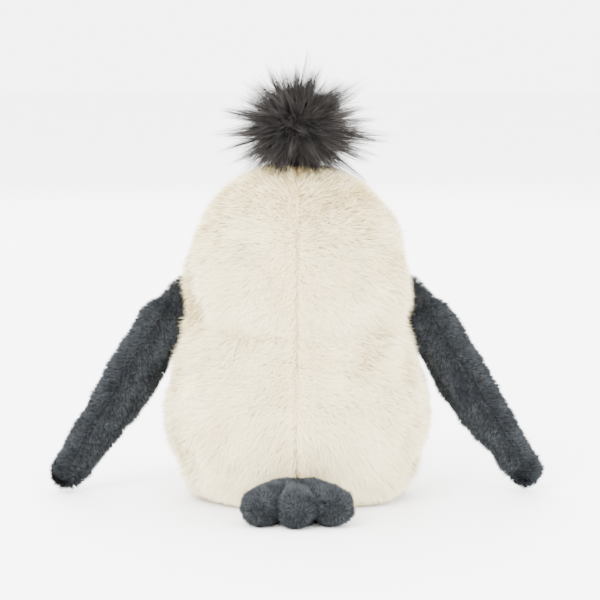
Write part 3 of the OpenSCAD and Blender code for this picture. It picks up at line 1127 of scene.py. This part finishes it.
    def build(self, pile: Pile) -> None:
        """Makes the padding, the five cloth panels and their pile.

        Args:
            pile: The fur.
        """
        form = self.form()
        self.stuffing(form, "body_stuffing", self.cloth + 0.5 * MM, "torso", 0.85)
        seams = self.seams
        counts = {"back_left": self.back_fibres, "back_right": self.back_fibres,
                  "front_right": self.front_fibres, "front_left": self.front_fibres}
        spans = {"back_left": (0, 1), "back_right": (1, 2), "front_right": (2, 3), "front_left": (3, 4)}
        for key, (low, high) in spans.items():
            sheet = self.panel(form, key, seams[low], seams[high])
            coat = pile.grow(key + "_pile", Skin.of(sheet), counts[key], self.flow, self.keep,
                             self.longer, self.flecks)
            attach(coat, "torso")
            self.report(coat)
            cloth = self.cover(sheet, key + "_panel", self.wardrobe.tan_backing, "body_fur", self.cloth)
            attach(cloth, "torso")
        sole = copy_of(form, "sole")
        cut_away(sole, (0, 0, self.sole_lift + 0.2 * MM), (0, 0, 1))
        coat = pile.grow("base_pile", Skin.of(sole), self.base_fibres, self.flow, None, self.longer)
        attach(coat, "torso")
        cloth = self.cover(sole, "base_panel", self.wardrobe.tan_backing, "body_fur", self.cloth / 2)
        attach(cloth, "torso")
        bpy.data.objects.remove(form)

    def eye_gap(self, places: np.ndarray) -> np.ndarray:
        """Distance to the middle of the nearer eye.

        Args:
            places: The places.

        Returns:
            The distances.
        """
        gaps = []
        for side in Side:
            low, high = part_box(f"eye_{side.word}")
            middle = (np.array(low) + np.array(high)) / 2
            gaps.append(np.linalg.norm(places - middle, axis=1))
        return np.minimum(*gaps)

    def keep(self, places: np.ndarray) -> np.ndarray:
        """Chance that a fibre stays: fewer right at the middle seam and none under the eyes.

        Args:
            places: The places.

        Returns:
            The chances.
        """
        at_seam = bump(places[:, 0], 0.9 * MM)
        bare = np.clip(0.45 + 0.3 * Ripple(31, 9 * MM).at(places), 0, 0.85)
        return (1 - bare * at_seam) * (self.eye_gap(places) > self.eye_clear)

    def longer(self, places: np.ndarray) -> np.ndarray:
        """Length of the pile: shorter near the floor, under the tuft and round the eyes and beak.

        Args:
            places: The places.

        Returns:
            Factors on the length.
        """
        height = places[:, 2]
        near_floor = np.clip(height / (10 * MM), 0.7, 1)
        eyes = 1 - 0.5 * bump(self.eye_gap(places), 11 * MM)
        near_face = bump(places[:, 0], 30 * MM) * bump(height - self.face_height, 26 * MM)
        face = 1 - 0.25 * near_face * (places[:, 1] < 0)
        crown = 1 - 0.45 * bump(np.hypot(places[:, 0], places[:, 1]), 24 * MM) * (height > 180 * MM)
        return near_floor * eyes * face * crown * (1 + 0.05 * Ripple(33, 22 * MM).at(places))

    def flecks(self, places: np.ndarray) -> np.ndarray:
        """Chance that a fibre is tan: in a loose band down the back of the head.

        Args:
            places: The places.

        Returns:
            The chances.
        """
        band = bump(places[:, 0] - 3 * MM, 9 * MM) * np.clip((places[:, 2] - 105 * MM) / (80 * MM), 0, 1)
        patches = np.clip(0.5 + 0.55 * Ripple(35, 11 * MM).at(places), 0, 1)
        return 0.30 * band * patches * (places[:, 1] > 0)


@dataclass
class Flipper(SoftAssembly):
    """One drooping flipper with its back and front cloth, stuffing and gathered root."""

    side: Side = Side.LEFT
    droop: float = math.radians(32)
    cloth: float = 1.0 * MM
    voxel: float = 1.5 * MM
    fibres: int = 36000
    fold_fibres: int = 12000
    valley: float = 2.0 * MM  # how far outside the centre line the plush parts
    reach: float = 117 * MM  # from the shoulder to the middle of the tip's whorl
    fold_start: float = 66 * MM  # distances from the middle plane along the gathered fold; its halves part at the cut
    fold_cut: float = 76 * MM
    fold_end: float = 88 * MM
    fold_thickness: float = 9 * MM
    fold_outline: tuple[tuple[float, float], ...] = (
        (59, 134), (67, 136.5), (73, 135), (80, 129), (87, 121.5),
        (90, 112), (88, 101), (80, 92), (68, 88), (59, 90))

    @property
    def shoulder(self) -> np.ndarray:
        """Where the flipper hinges."""
        return np.array(JOINTS[f"flipper_{self.side.word}_raise"]["pos_m"])

    @property
    def axis(self) -> np.ndarray:
        """Direction from the shoulder to the tip."""
        return np.array([self.side.value * math.sin(self.droop), 0, -math.cos(self.droop)])

    @property
    def outwards(self) -> np.ndarray:
        """Direction across the flipper, away from the body."""
        return np.array([self.side.value * math.cos(self.droop), 0, math.sin(self.droop)])

    @property
    def seam_normal(self) -> np.ndarray:
        """Normal of the edge seam's plane, turned so that the front cloth shows at the inner edge."""
        return unit(BACKWARDS + 0.30 * self.outwards - 0.025 * self.axis)

    def measure(self, places: np.ndarray) -> tuple[np.ndarray, np.ndarray, np.ndarray]:
        """Distances of some places from the shoulder.

        Args:
            places: The places.

        Returns:
            The distances along the flipper, across it and from the edge seam's plane.
        """
        arms = places - self.shoulder
        return arms @ self.axis, arms @ self.outwards, arms @ self.seam_normal

    def form(self) -> bpy.types.Object:
        """Swells the stuffing's shape between the edge seams.

        Returns:
            The swollen outer form.
        """
        form = copy_of_nodes([f"flipper_{self.side.word}_stuffing"], f"flipper {self.side.word} form")
        remesh(form, self.voxel, 4)
        push_out(form, 1.3 * MM)
        off_seam = self.measure(vertices_of(form))[2]
        swell(form, np.where(np.abs(off_seam) < 1.2 * MM, 1.0, 0.0), 2.0, 1.2 * MM)
        smooth(form, 8)
        places = vertices_of(form)
        along, across, off_seam = self.measure(places)
        ends = np.clip(along / (30 * MM), 0, 1) * np.clip((116 * MM - along) / (25 * MM), 0, 1)
        valley = bump(across - self.valley, 3.0 * MM) * ends
        dents = Ripple(40 + self.side.value, 45 * MM).at(places)
        push_out(form, 0.25 * MM * dents - 1.0 * MM * valley - 1.1 * MM * bump(off_seam, 1.3 * MM))
        return form

    def flow(self, places: np.ndarray, normals: np.ndarray) -> np.ndarray:
        """Lie of the plush: towards the tip and away from the middle, with a whorl at the tip.

        Args:
            places: The places.
            normals: The skin's normals there.

        Returns:
            The lie at each place.
        """
        along, across, _ = self.measure(places)
        tipwards = tangent(np.broadcast_to(self.axis, places.shape), normals)
        apart = tangent(np.tanh((across - self.valley) / (2 * MM))[:, None] * self.outwards, normals)
        wander = np.stack([Ripple(60 + k + self.side.value, 14 * MM).at(places) for k in range(3)], 1)
        whorl = np.clip((along - 104 * MM) / (10 * MM), 0, 1)[:, None]
        from_end = places - (self.shoulder + self.reach * self.axis)
        outward = tangent(unit(from_end) + 0.5 * unit(np.cross(from_end, normals)), normals)
        return unit((1 - whorl) * (0.8 * tipwards + 0.75 * apart) + whorl * outward + 0.28 * wander)

    def longer(self, places: np.ndarray) -> np.ndarray:
        """Length of the plush: shorter at the edge seam."""
        return 1 - 0.45 * bump(self.measure(places)[2], 1.7 * MM)

    def darker(self, places: np.ndarray) -> np.ndarray:
        """Chance that a fibre is dark: a few anywhere, and more along the valley down the middle as painted shade
        of the valley.
        """
        # painted shade: the extra dark fibres follow the valley where the plush parts
        return 0.12 + 0.38 * bump(self.measure(places)[1] - 0.5 * MM, 5 * MM)

    def in_half(self, places: np.ndarray, way: int) -> np.ndarray:
        """Whether places lie in one half of the gathered fold.

        Args:
            places: The places.
            way: 1 for the half at the body, -1 for the half at the flipper.

        Returns:
            True or False for each place.
        """
        return way * (self.fold_cut - np.abs(places[:, 0])) > 0

    def build(self, pile: Pile) -> None:
        """Makes the padding, both covers, their pile and the root.

        Args:
            pile: The pile that the covers are grown with.
        """
        form = self.form()
        body, root = f"flipper_{self.side.word}", f"flipper_{self.side.word}_root"
        self.stuffing(form, f"{body}_stuffing", self.cloth + 0.4 * MM, body, 0.7)
        start, end = self.shoulder - 8 * MM * self.axis, self.shoulder + 18 * MM * self.axis
        for key, sign in (("back", -1), ("front", 1)):
            sheet = copy_of(form, f"{body} {key}")
            cut_away(sheet, tuple(self.shoulder), tuple(sign * self.seam_normal))
            coat = pile.grow(f"{body}_{key}_pile", Skin.of(sheet), self.fibres, self.flow, None,
                             self.longer, self.darker)
            tuple(start)
            tuple(end)
            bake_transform(coat)
            self.report(coat)
            cloth = self.cover(sheet, f"{body}_{key}_panel", self.wardrobe.slate_backing, "slate_plush",
                               self.cloth)
            tuple(start)
            tuple(end)
            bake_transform(cloth)
        bpy.data.objects.remove(form)
        self.gathered_root(pile)

    def gathered_root(self, pile: Pile) -> None:
        """Makes the unstuffed fold of plush between the body's side seam and the shoulder.

        Args:
            pile: The pile that the fold is grown with.
        """
        word, sign, cut = self.side.word, self.side.value, self.fold_cut
        select_nothing()
        bpy.ops.mesh.primitive_circle_add(vertices=len(self.fold_outline), fill_type="NGON")
        fold = bpy.context.view_layer.objects.active
        fold.name = f"flipper_{word}_gather"
        near = self.shoulder[1] - self.fold_thickness / 2
        place_vertices(fold, np.array([[sign * x * MM, near, z * MM] for x, z in self.fold_outline]))
        bpy.ops.object.mode_set(mode="EDIT")
        bpy.ops.mesh.select_all(action="SELECT")
        bpy.ops.mesh.extrude_region_move(TRANSFORM_OT_translate={"value": (0, self.fold_thickness, 0)})
        bpy.ops.mesh.select_all(action="SELECT")
        bpy.ops.mesh.normals_make_consistent(inside=False)
        bpy.ops.object.mode_set(mode="OBJECT")
        remesh(fold, 1.2 * MM, 14)
        places = vertices_of(fold)
        pleats = 0.5 * MM * np.sin(places[:, 2] / (2.1 * MM) + Ripple(7, 20 * MM).at(places))
        push_out(fold, pleats * np.clip((82 * MM - np.abs(places[:, 0])) / (8 * MM), 0, 1))
        root = f"flipper_{word}_root"
        halves = (("inner", 1, "torso", root, self.fold_start, cut),
                  ("outer", -1, root, f"flipper_{word}", cut, self.fold_end))
        for key, way, parent, child, low, high in halves:
            half = copy_of(fold, f"flipper_{word}_gather_{key}")
            cut_away(half, (sign * cut, 0, 0), (sign * way, 0, 0), fill=True)
            coat = pile.grow(f"flipper_{word}_gather_{key}_pile", Skin.of(fold), self.fold_fibres,
                             self.flow, partial(self.in_half, way=way), None, self.darker)
            face_smoothly(half)
            dress(half, self.wardrobe.slate_backing, "slate_plush")
            if key == "inner":
                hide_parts(f"flipper_{word}_root_tab")
            for piece in (half, coat):
                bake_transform(piece)
                self.report(piece)
        bpy.data.objects.remove(fold)


@dataclass
class LobedPad(SoftAssembly):
    """The tail or a foot: three lobes between an upper and a lower cloth."""

    name: str = "tail"
    upper: str = "tail_top_panel"
    lower: str = "tail_bottom_panel"
    joint: str = "tail_lift"
    fibres: int = 26000
    channel_root: float = 4.5 * MM  # half distance between the grooves at the root
    channel_tip: float = 11.0 * MM  # the same at the lobes' ends
    lobe_length: float = 26.5 * MM
    lobe_radius: float = 11.2 * MM
    channel_depth: float = 1.6 * MM
    lead: float = 3.0 * MM  # how far the middle lobe reaches past the others
    fluff: float = 1.10  # how much longer the stuffed lobes are than the CAD stuffing
    groove_from: float = 0.5  # share of the lobes' length where the grooves begin
    bulge: float = 1.0 * MM  # how far the lobes' ends swell out
    cloth: float = 1.0 * MM
    voxel: float = 1.2 * MM

    @property
    def hinge(self) -> np.ndarray:
        """Middle of the root's hinge line, which is also the middle of the lobes' height."""
        return np.array(JOINTS[self.joint]["pos_m"])

    @property
    def outwards(self) -> np.ndarray:
        """Direction in which the lobes point."""
        return unit(np.cross(UP, np.array(JOINTS[self.joint]["axis"])))

    @property
    def sideways(self) -> np.ndarray:
        """Level direction across the lobes."""
        return np.cross(self.outwards, UP)

    def measure(self, places: np.ndarray) -> tuple[np.ndarray, np.ndarray]:
        """Distances of some places from the hinge, along the lobes and across them."""
        arms = places - self.hinge
        return arms @ self.outwards, arms @ self.sideways

    def channel_gap(self, places: np.ndarray) -> np.ndarray:
        """Distance to the nearer of the two lines between the lobes.

        Args:
            places: The places.

        Returns:
            The distances.
        """
        along, across = self.measure(places)
        share = np.clip(along / (self.fluff * self.lobe_length), 0, 1.4)
        line = self.channel_root + (self.channel_tip - self.channel_root) * share
        return np.abs(np.abs(across) - line)

    def groove(self, along: np.ndarray) -> np.ndarray:
        """How far the grooves between the lobes have opened, from 0 to 1."""
        return np.clip((along - self.groove_from * self.lobe_length) / (0.35 * self.lobe_length), 0, 1)

    def form(self) -> bpy.types.Object:
        """Swells the stuffing's shape, held at the edge seam and between the lobes.

        Returns:
            The swollen outer form.
        """
        form = copy_of_nodes([self.name + "_stuffing"], self.name + " form")
        remesh(form, self.voxel, 3)
        push_out(form, 1.0 * MM)
        places = vertices_of(form)
        at_edge = np.abs(places[:, 2] - self.hinge[2]) < 0.9 * MM
        in_channel = self.channel_gap(places) < 1.2 * MM
        swell(form, np.where(at_edge | in_channel, 1.0, 0.0), 2.5, 1.2 * MM)
        places = vertices_of(form)
        along, across = self.measure(places)
        ramp = self.groove(along)
        nearest = np.round(np.clip(across / (2 * self.channel_tip), -1, 1)) * 2 * self.channel_tip
        from_end = np.stack([along - self.lobe_length, across - nearest, places[:, 2] - self.hinge[2]], 1)
        push_out(form, self.bulge * bump(np.linalg.norm(from_end, axis=1), 0.8 * self.lobe_radius))
        push_out(form, -self.channel_depth * ramp * bump(self.channel_gap(places), 0.25 * self.lobe_radius))
        smooth(form, 3)
        places = vertices_of(form)
        middle_lobe = np.clip(1.6 - np.abs(across) / (0.7 * self.channel_tip), 0, 1) * ramp
        places += self.lead * middle_lobe[:, None] * self.outwards
        places += (self.fluff - 1) * np.maximum(along, 0)[:, None] * self.outwards
        places[:, 2] = np.maximum(places[:, 2], 1.0 * MM)
        place_vertices(form, places)
        return form

    def flow(self, places: np.ndarray, normals: np.ndarray) -> np.ndarray:
        """Lie of the plush: out from a whorl at each lobe's end and back along the lobes.

        Args:
            places: The places.
            normals: The skin's normals there.

        Returns:
            The lie at each place.
        """
        across = self.measure(places)[1]
        lobe = np.round(np.clip(across / (2 * self.channel_tip), -1, 1))
        reach = self.fluff * self.lobe_length
        centre = self.hinge + reach * self.outwards + (2 * self.channel_tip * lobe)[:, None] * self.sideways
        centre = centre + (self.lead * (lobe == 0))[:, None] * self.outwards
        axis = unit(self.outwards + 0.45 * lobe[:, None] * self.sideways)
        from_end = places - centre
        ahead = np.sum(from_end * axis, axis=1)
        end = np.clip((ahead - 0.1 * self.lobe_radius) / (0.4 * self.lobe_radius), 0, 1)
        radial = from_end - ahead[:, None] * axis
        whorl = tangent(unit(radial) + 0.6 * unit(np.cross(axis, radial)), normals)
        back = tangent(np.broadcast_to(-self.outwards, places.shape), normals)
        wander = np.stack([Ripple(80 + k, 12 * MM).at(places) for k in range(3)], 1)
        return unit((1 - end)[:, None] * back + end[:, None] * whorl + 0.3 * wander)

    def longer(self, places: np.ndarray) -> np.ndarray:
        """Length of the plush: shorter between the lobes."""
        opened = self.groove(self.measure(places)[0])
        return 1 - 0.5 * opened * bump(self.channel_gap(places), 0.25 * self.lobe_radius)

    def darker(self, places: np.ndarray) -> np.ndarray:
        """Chance that a fibre is dark: a few anywhere, and many in the grooves between the lobes as painted shade
        of the grooves.
        """
        opened = self.groove(self.measure(places)[0])
        # painted shade: the extra dark fibres sit in the grooves between the lobes
        return 0.08 + 0.6 * opened * bump(self.channel_gap(places), 0.22 * self.lobe_radius)

    def build(self, pile: Pile) -> None:
        """Makes the padding, both covers and their pile.

        Args:
            pile: The pile that the covers are grown with.
        """
        form = self.form()
        self.stuffing(form, f"{self.name}_stuffing", self.cloth + 0.4 * MM, self.name, 0.75)
        for key, node, sign in (("upper", self.upper, -1), ("lower", self.lower, 1)):
            sheet = copy_of(form, f"{self.name} {key}")
            cut_away(sheet, tuple(self.hinge), (0, 0, sign))
            coat = pile.grow(f"{self.name}_{key}_pile", Skin.of(sheet), self.fibres, self.flow, None,
                             self.longer, self.darker)
            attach(coat, self.name)
            self.report(coat)
            cloth = self.cover(sheet, node, self.wardrobe.slate_backing, "slate_plush", self.cloth)
            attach(cloth, self.name)
        bpy.data.objects.remove(form)


@dataclass
class Beak(SoftAssembly):
    """Short stuffed beak, sewn from an upper and a lower piece."""

    cloth: float = 0.9 * MM
    voxel: float = 1.0 * MM
    fibres: int = 9000
    seam_slope: float = math.radians(7)

    def flow(self, places: np.ndarray, normals: np.ndarray) -> np.ndarray:
        """Lie of the plush: towards the tip."""
        wander = np.stack([Ripple(90 + k, 9 * MM).at(places) for k in range(3)], 1)
        return unit(tangent(np.broadcast_to(-BACKWARDS, places.shape), normals) + 0.3 * wander)

    def build(self, pile: Pile) -> None:
        """Makes the padding, both covers and their pile.

        Args:
            pile: The pile that the covers are grown with.
        """
        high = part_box("beak_lower_panel")[1]
        form = copy_of_nodes(["beak_stuffing"], "beak form")
        remesh(form, self.voxel, 6)
        push_out(form, 0.9 * MM)
        places = vertices_of(form)
        root = places[:, 1] > high[1] - 2.5 * MM
        swell(form, np.where(root, 1.0, 0.0), 4.0, 1.2 * MM)
        self.stuffing(form, "beak_stuffing", self.cloth + 0.3 * MM, "torso", 0.8)
        seam = (0, high[1], high[2] - 0.6 * MM)
        rise, run = math.cos(self.seam_slope), -math.sin(self.seam_slope)
        for key, node, sign in (("upper", "beak_upper_panel", -1), ("lower", "beak_lower_panel", 1)):
            sheet = copy_of(form, f"beak {key}")
            cut_away(sheet, seam, (0, sign * run, sign * rise))
            coat = pile.grow(f"beak_{key}_pile", Skin.of(sheet), self.fibres, self.flow)
            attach(coat, "torso")
            self.report(coat)
            cloth = self.cover(sheet, node, self.wardrobe.slate_backing, "slate_plush", self.cloth)
            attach(cloth, "torso")
        bpy.data.objects.remove(form)


@dataclass
class Tuft(SoftAssembly):
    """Ball of long hair in pointed locks on a gathered core."""

    locks: int = 210
    hairs_per_lock: int = 66
    stray_hairs: int = 1500
    under_hairs: int = 9000
    length: float = 30 * MM
    hair_width: float = 0.25 * MM
    under_width: float = 0.42 * MM
    root_depth: float = 0.96  # share of the core's radius at which the hair is rooted

    def core(self) -> bpy.types.Object:
        """Makes the gathered core that the hair grows on.

        Returns:
            The core.
        """
        low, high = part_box("tuft_core")
        centre = (np.array(low) + np.array(high)) / 2
        select_nothing()
        bpy.ops.mesh.primitive_ico_sphere_add(subdivisions=5, radius=(high[0] - low[0]) / 2)
        core = bpy.context.view_layer.objects.active
        core.name = "tuft_core_cloth"
        places = vertices_of(core)
        pleats = np.sin(16 * np.arctan2(places[:, 1], places[:, 0]))
        gathers = 0.03 * pleats * np.clip(-places[:, 2] / (10 * MM), 0, 1)
        place_vertices(core, places * (1 + 0.04 * Ripple(5, 9 * MM).at(places) + gathers)[:, None] + centre)
        face_smoothly(core)
        dress(core, self.wardrobe.charcoal_backing, "tuft_hair")
        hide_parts("tuft_core")
        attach(core, "tuft")
        self.report(core)
        return core

    def curves(self, roots: np.ndarray, middles: np.ndarray, tips: np.ndarray, steps: int) -> np.ndarray:
        """Bent paths from roots to tips that keep clear of the crown.

        Args:
            roots: Where the hairs begin.
            middles: What each hair bends towards.
            tips: Where they end.
            steps: How many stretches each has.

        Returns:
            The paths, root first.
        """
        share = np.linspace(0, 1, steps + 1)[None, :, None]
        path = (1 - share) ** 2 * roots[:, None] + 2 * share * (1 - share) * middles[:, None]
        path = path + share ** 2 * tips[:, None]
        radius = np.hypot(path[:, :, 0], path[:, :, 1])
        path[:, :, 2] = np.maximum(path[:, :, 2], CROWN_GUARD - radius ** 2 / (150 * MM))
        return path

    def lock_paths(
        self, centre: np.ndarray, radius: float, draw: np.random.Generator
    ) -> tuple[np.ndarray, np.ndarray]:
        """Paths and shades of the hairs that are gathered in locks.

        Args:
            centre: Middle of the core.
            radius: Radius of the core.
            draw: The random source.

        Returns:
            The paths and the shades.
        """
        count = self.locks
        turn = math.pi * (1 + 5 ** 0.5) * np.arange(count)
        rise = 1 - 1.86 * (np.arange(count) + 0.5) / count
        level = np.sqrt(1 - rise ** 2)
        ways = np.stack([level * np.cos(turn), level * np.sin(turn), rise], 1)
        ways = unit(ways + draw.normal(0, 0.13, (count, 3)))
        size = self.length * (1.10 - 0.16 * ways[:, 2] ** 2) * draw.uniform(0.66, 1.2, count)
        size *= 1 + 0.22 * (draw.random(count) > 0.86)
        size *= 1 + 0.26 * bump(ways[:, 2] + 0.2, 0.35) - 0.2 * np.clip(-0.45 - ways[:, 2], 0, 0.5)
        bend = unit(np.cross(ways, draw.normal(size=(count, 3))))
        ends = centre + ways * (radius + size)[:, None] + bend * (draw.uniform(0, 5, count) * MM)[:, None]
        ends[:, 0] -= 2.5 * MM * np.clip(1.2 - ways[:, 2], 0, 1)
        ends[:, 2] -= 2.0 * MM * (1 - ways[:, 2] ** 2)
        lock = np.repeat(np.arange(count), self.hairs_per_lock)
        total = len(lock)
        across = draw.normal(size=(total, 3))
        across -= np.sum(across * ways[lock], axis=1, keepdims=True) * ways[lock]
        roots = centre + unit(ways[lock] + 0.23 * across) * radius * self.root_depth
        reach = 1.05 - (0.50 + 0.12 * ways[lock, 2:3]) * draw.random(total)[:, None] ** 1.2
        tips = roots + (ends[lock] - roots) * reach + across * draw.uniform(0.2, 1.5, (total, 1)) * MM
        straight = roots + (tips - roots) * 0.5
        middles = straight + ways[lock] * 2.5 * MM + across * 1.3 * MM
        own = (draw.normal(0, 0.20, count) - 0.22 * np.clip(np.abs(ways[:, 1]) - 0.6, 0, 1) / 0.4)[lock]
        shades = 0.42 + own + 0.16 * draw.normal(size=total)
        return self.curves(roots, middles, tips, 4), shades

    def loose_paths(
        self, centre: np.ndarray, radius: float, count: int, lengths: tuple[float, float], steps: int,
        draw: np.random.Generator,
    ) -> np.ndarray:
        """Paths of single hairs that follow no lock.

        Args:
            centre: Middle of the core.
            radius: Radius of the core.
            count: How many hairs.
            lengths: Shortest and longest hair.
            steps: How many stretches each has.
            draw: The random source.

        Returns:
            The paths.
        """
        ways = unit(draw.normal(size=(count, 3)) + np.array([0, 0, 0.12]))
        roots = centre + ways * radius * self.root_depth
        lean = unit(draw.normal(size=(count, 3)))
        size = draw.uniform(*lengths, count)[:, None]
        tips = roots + unit(ways + 0.32 * lean) * size
        tips[:, 2] -= 0.08 * size[:, 0]
        middles = roots + 0.55 * size * unit(ways + 0.08 * lean)
        return self.curves(roots, middles, tips, steps)

    def build(self) -> None:
        """Makes the core, the locks, the stray hairs and the dense hair under them."""
        core = self.core()
        places = vertices_of(core)
        centre = (places.max(0) + places.min(0)) / 2
        radius = float(np.median(np.linalg.norm(places - centre, axis=1)))
        draw = np.random.default_rng(201)
        paths, shades = self.lock_paths(centre, radius, draw)
        stray = self.loose_paths(centre, radius, self.stray_hairs,
                                 (0.75 * self.length, 1.28 * self.length), 4, draw)
        paths = np.concatenate([paths, stray])
        shades = np.concatenate([shades, draw.uniform(0.35, 0.9, len(stray))])
        under = self.loose_paths(centre, radius, self.under_hairs,
                                 (0.3 * self.length, 0.62 * self.length), 3, draw)
        for name, path, width, shade in (
            ("tuft_long_hair", paths, self.hair_width, shades),
            ("tuft_under_hair", under, self.under_width, draw.uniform(0.05, 0.5, len(under))),
        ):
            # fade=2.0 keeps the dark root colour far up each hair: the hair's own colour, and also painted shade
            # of the tuft's middle
            made = ribbons(name, path, unit(path[:, -1] - centre), width, np.clip(shade, 0, 1), draw,
                           point=0.75, fade=2.0)
            dress(made, self.wardrobe.charcoal_hair, "tuft_hair")
            if name == "tuft_long_hair":
                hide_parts("tuft_pile")
            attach(made, "tuft")
            self.report(made)


@dataclass
class Hardware:
    """CAD nodes that stay as they are and only need their finish."""

    wardrobe: Wardrobe

    def build(self) -> None:
        """Dresses the nodes."""
        finishes = {
            "eye_left": self.wardrobe.eye,
            "eye_right": self.wardrobe.eye,
            "eye_washer_left": self.wardrobe.washer,
            "eye_washer_right": self.wardrobe.washer,
            "bean_pouch": self.wardrobe.lining,
            "bean_pellets": self.wardrobe.pellets,
            "crown_patch": self.wardrobe.lining,
            "tuft_shank": self.wardrobe.charcoal_backing,
        }
        for node, material in finishes.items():
            mesh = frame["nodes"][node].data
            mesh.materials.clear()
            mesh.materials.append(material)
            log.info("  dressed %s", node)


# ---------------------------------------------------------------- studio


@dataclass(frozen=True)
class Studio:
    """Pale floor, soft lights and the camera."""

    distance: float = 1.6
    height: float = 0.32
    pitch: float = 7.0104  # in degrees
    focal: float = 2578.06 / RENDER_WIDTH * SENSOR
    aside: float = 3 / RENDER_WIDTH  # sideways shift of the view
    sky: float = 6.0
    aim: tuple[float, float, float] = (0, 0, 0.12)

    def camera(self) -> None:
        """Places the camera behind the toy, looking slightly down."""
        data = bpy.data.cameras.new("camera")
        data.lens = self.focal
        data.sensor_width = SENSOR
        data.clip_end = 20
        data.shift_x = self.aside
        holder = bpy.data.objects.new("camera", data)
        holder.location = (0, self.distance, self.height)
        holder.rotation_euler = (math.radians(90 - self.pitch), 0, math.radians(180))
        bpy.context.scene.collection.objects.link(holder)
        bpy.context.scene.camera = holder

    def lamp(self, name: str, place: Sequence[float], size: float, power: float) -> None:
        """Hangs a square soft light that points at the toy.

        Args:
            name: The lamp's name.
            place: Where it hangs.
            size: Length of its edge.
            power: Its power in watts.
        """
        data = bpy.data.lights.new(name, "AREA")
        data.size = size
        data.energy = power
        holder = bpy.data.objects.new(name, data)
        holder.location = place
        beam = Vector(self.aim) - Vector(place)
        holder.rotation_euler = beam.to_track_quat("-Z", "Y").to_euler()
        bpy.context.scene.collection.objects.link(holder)

    def floor(self) -> None:
        """Lays the floor."""
        select_nothing()
        bpy.ops.mesh.primitive_plane_add(size=12)
        floor = bpy.context.view_layer.objects.active
        floor.name = "floor"
        material, shader = blank_material("pale floor")
        shader.inputs["Base Color"].default_value = (0.93, 0.93, 0.93, 1)
        shader.inputs["Roughness"].default_value = 0.6
        floor.data.materials.append(material)

    def build(self) -> None:
        """Sets up the world, floor, lights and camera."""
        world = bpy.data.worlds.new("studio")
        world.use_nodes = True
        background = world.node_tree.nodes["Background"]
        background.inputs["Color"].default_value = (1, 1, 1, 1)
        background.inputs["Strength"].default_value = self.sky
        bpy.context.scene.world = world
        self.floor()
        self.lamp("key", (0.9, 1.6, 1.7), 1.4, 125)
        self.lamp("fill", (-1.5, 1.2, 0.9), 1.6, 38)
        self.lamp("front", (0.3, -1.8, 1.3), 1.8, 60)
        self.camera()


def main() -> None:
    """Builds the toy and its studio, sub-assembly by sub-assembly."""
    wardrobe = Wardrobe()
    fur = Pile(PileStyle(9.2 * MM, 0.40 * MM, 14, 44, spread=0.2, tousle=0.42, clump=0.35, unrest=9),
               wardrobe.cream_pile, "body_fur", seed=1)
    plush = Pile(PileStyle(3.9 * MM, 0.30 * MM, 22, 52, clump_size=2.3 * MM, clump=0.8, unrest=17, fade=1.5),
                 wardrobe.slate_pile, "slate_plush", seed=101, patch_size=12 * MM, shade=0.66, mottle=0.16)
    short_plush = Pile(PileStyle(3.0 * MM, 0.30 * MM, 20, 50, clump_size=2.0 * MM, clump=0.6, unrest=14, fade=1.5),
                       wardrobe.slate_pile, "slate_plush", seed=141, patch_size=12 * MM, shade=0.70, mottle=0.16)
    log.info("torso")
    Torso(wardrobe).build(fur)
    for side in Side:
        log.info("%s flipper", side.word)
        Flipper(wardrobe, side=side).build(plush)
    log.info("tail")
    LobedPad(wardrobe).build(short_plush)
    for side in Side:
        foot = f"foot_{side.word}"
        log.info("%s", foot)
        LobedPad(wardrobe, name=foot, upper=foot + "_top_panel", lower=foot + "_sole_panel",
                 joint=foot + "_lift", fibres=15000, channel_root=3.5 * MM, channel_tip=7.0 * MM,
                 lobe_length=24 * MM, lobe_radius=8 * MM, channel_depth=1.0 * MM, lead=1 * MM,
                 fluff=1.0, groove_from=0.3, bulge=0.4 * MM).build(short_plush)
    log.info("beak")
    flat_plush = Pile(PileStyle(2.2 * MM, 0.30 * MM, 40, 78, clump_size=1.6 * MM, clump=0.3, unrest=10, fade=0.5),
                      wardrobe.slate_pile, "slate_plush", seed=181, patch_size=8 * MM, shade=0.62, mottle=0.14)
    Beak(wardrobe).build(flat_plush)
    log.info("tuft")
    Tuft(wardrobe).build()
    log.info("hardware")
    Hardware(wardrobe).build()
    Studio().build()


if __name__ == "__main__":
    main()
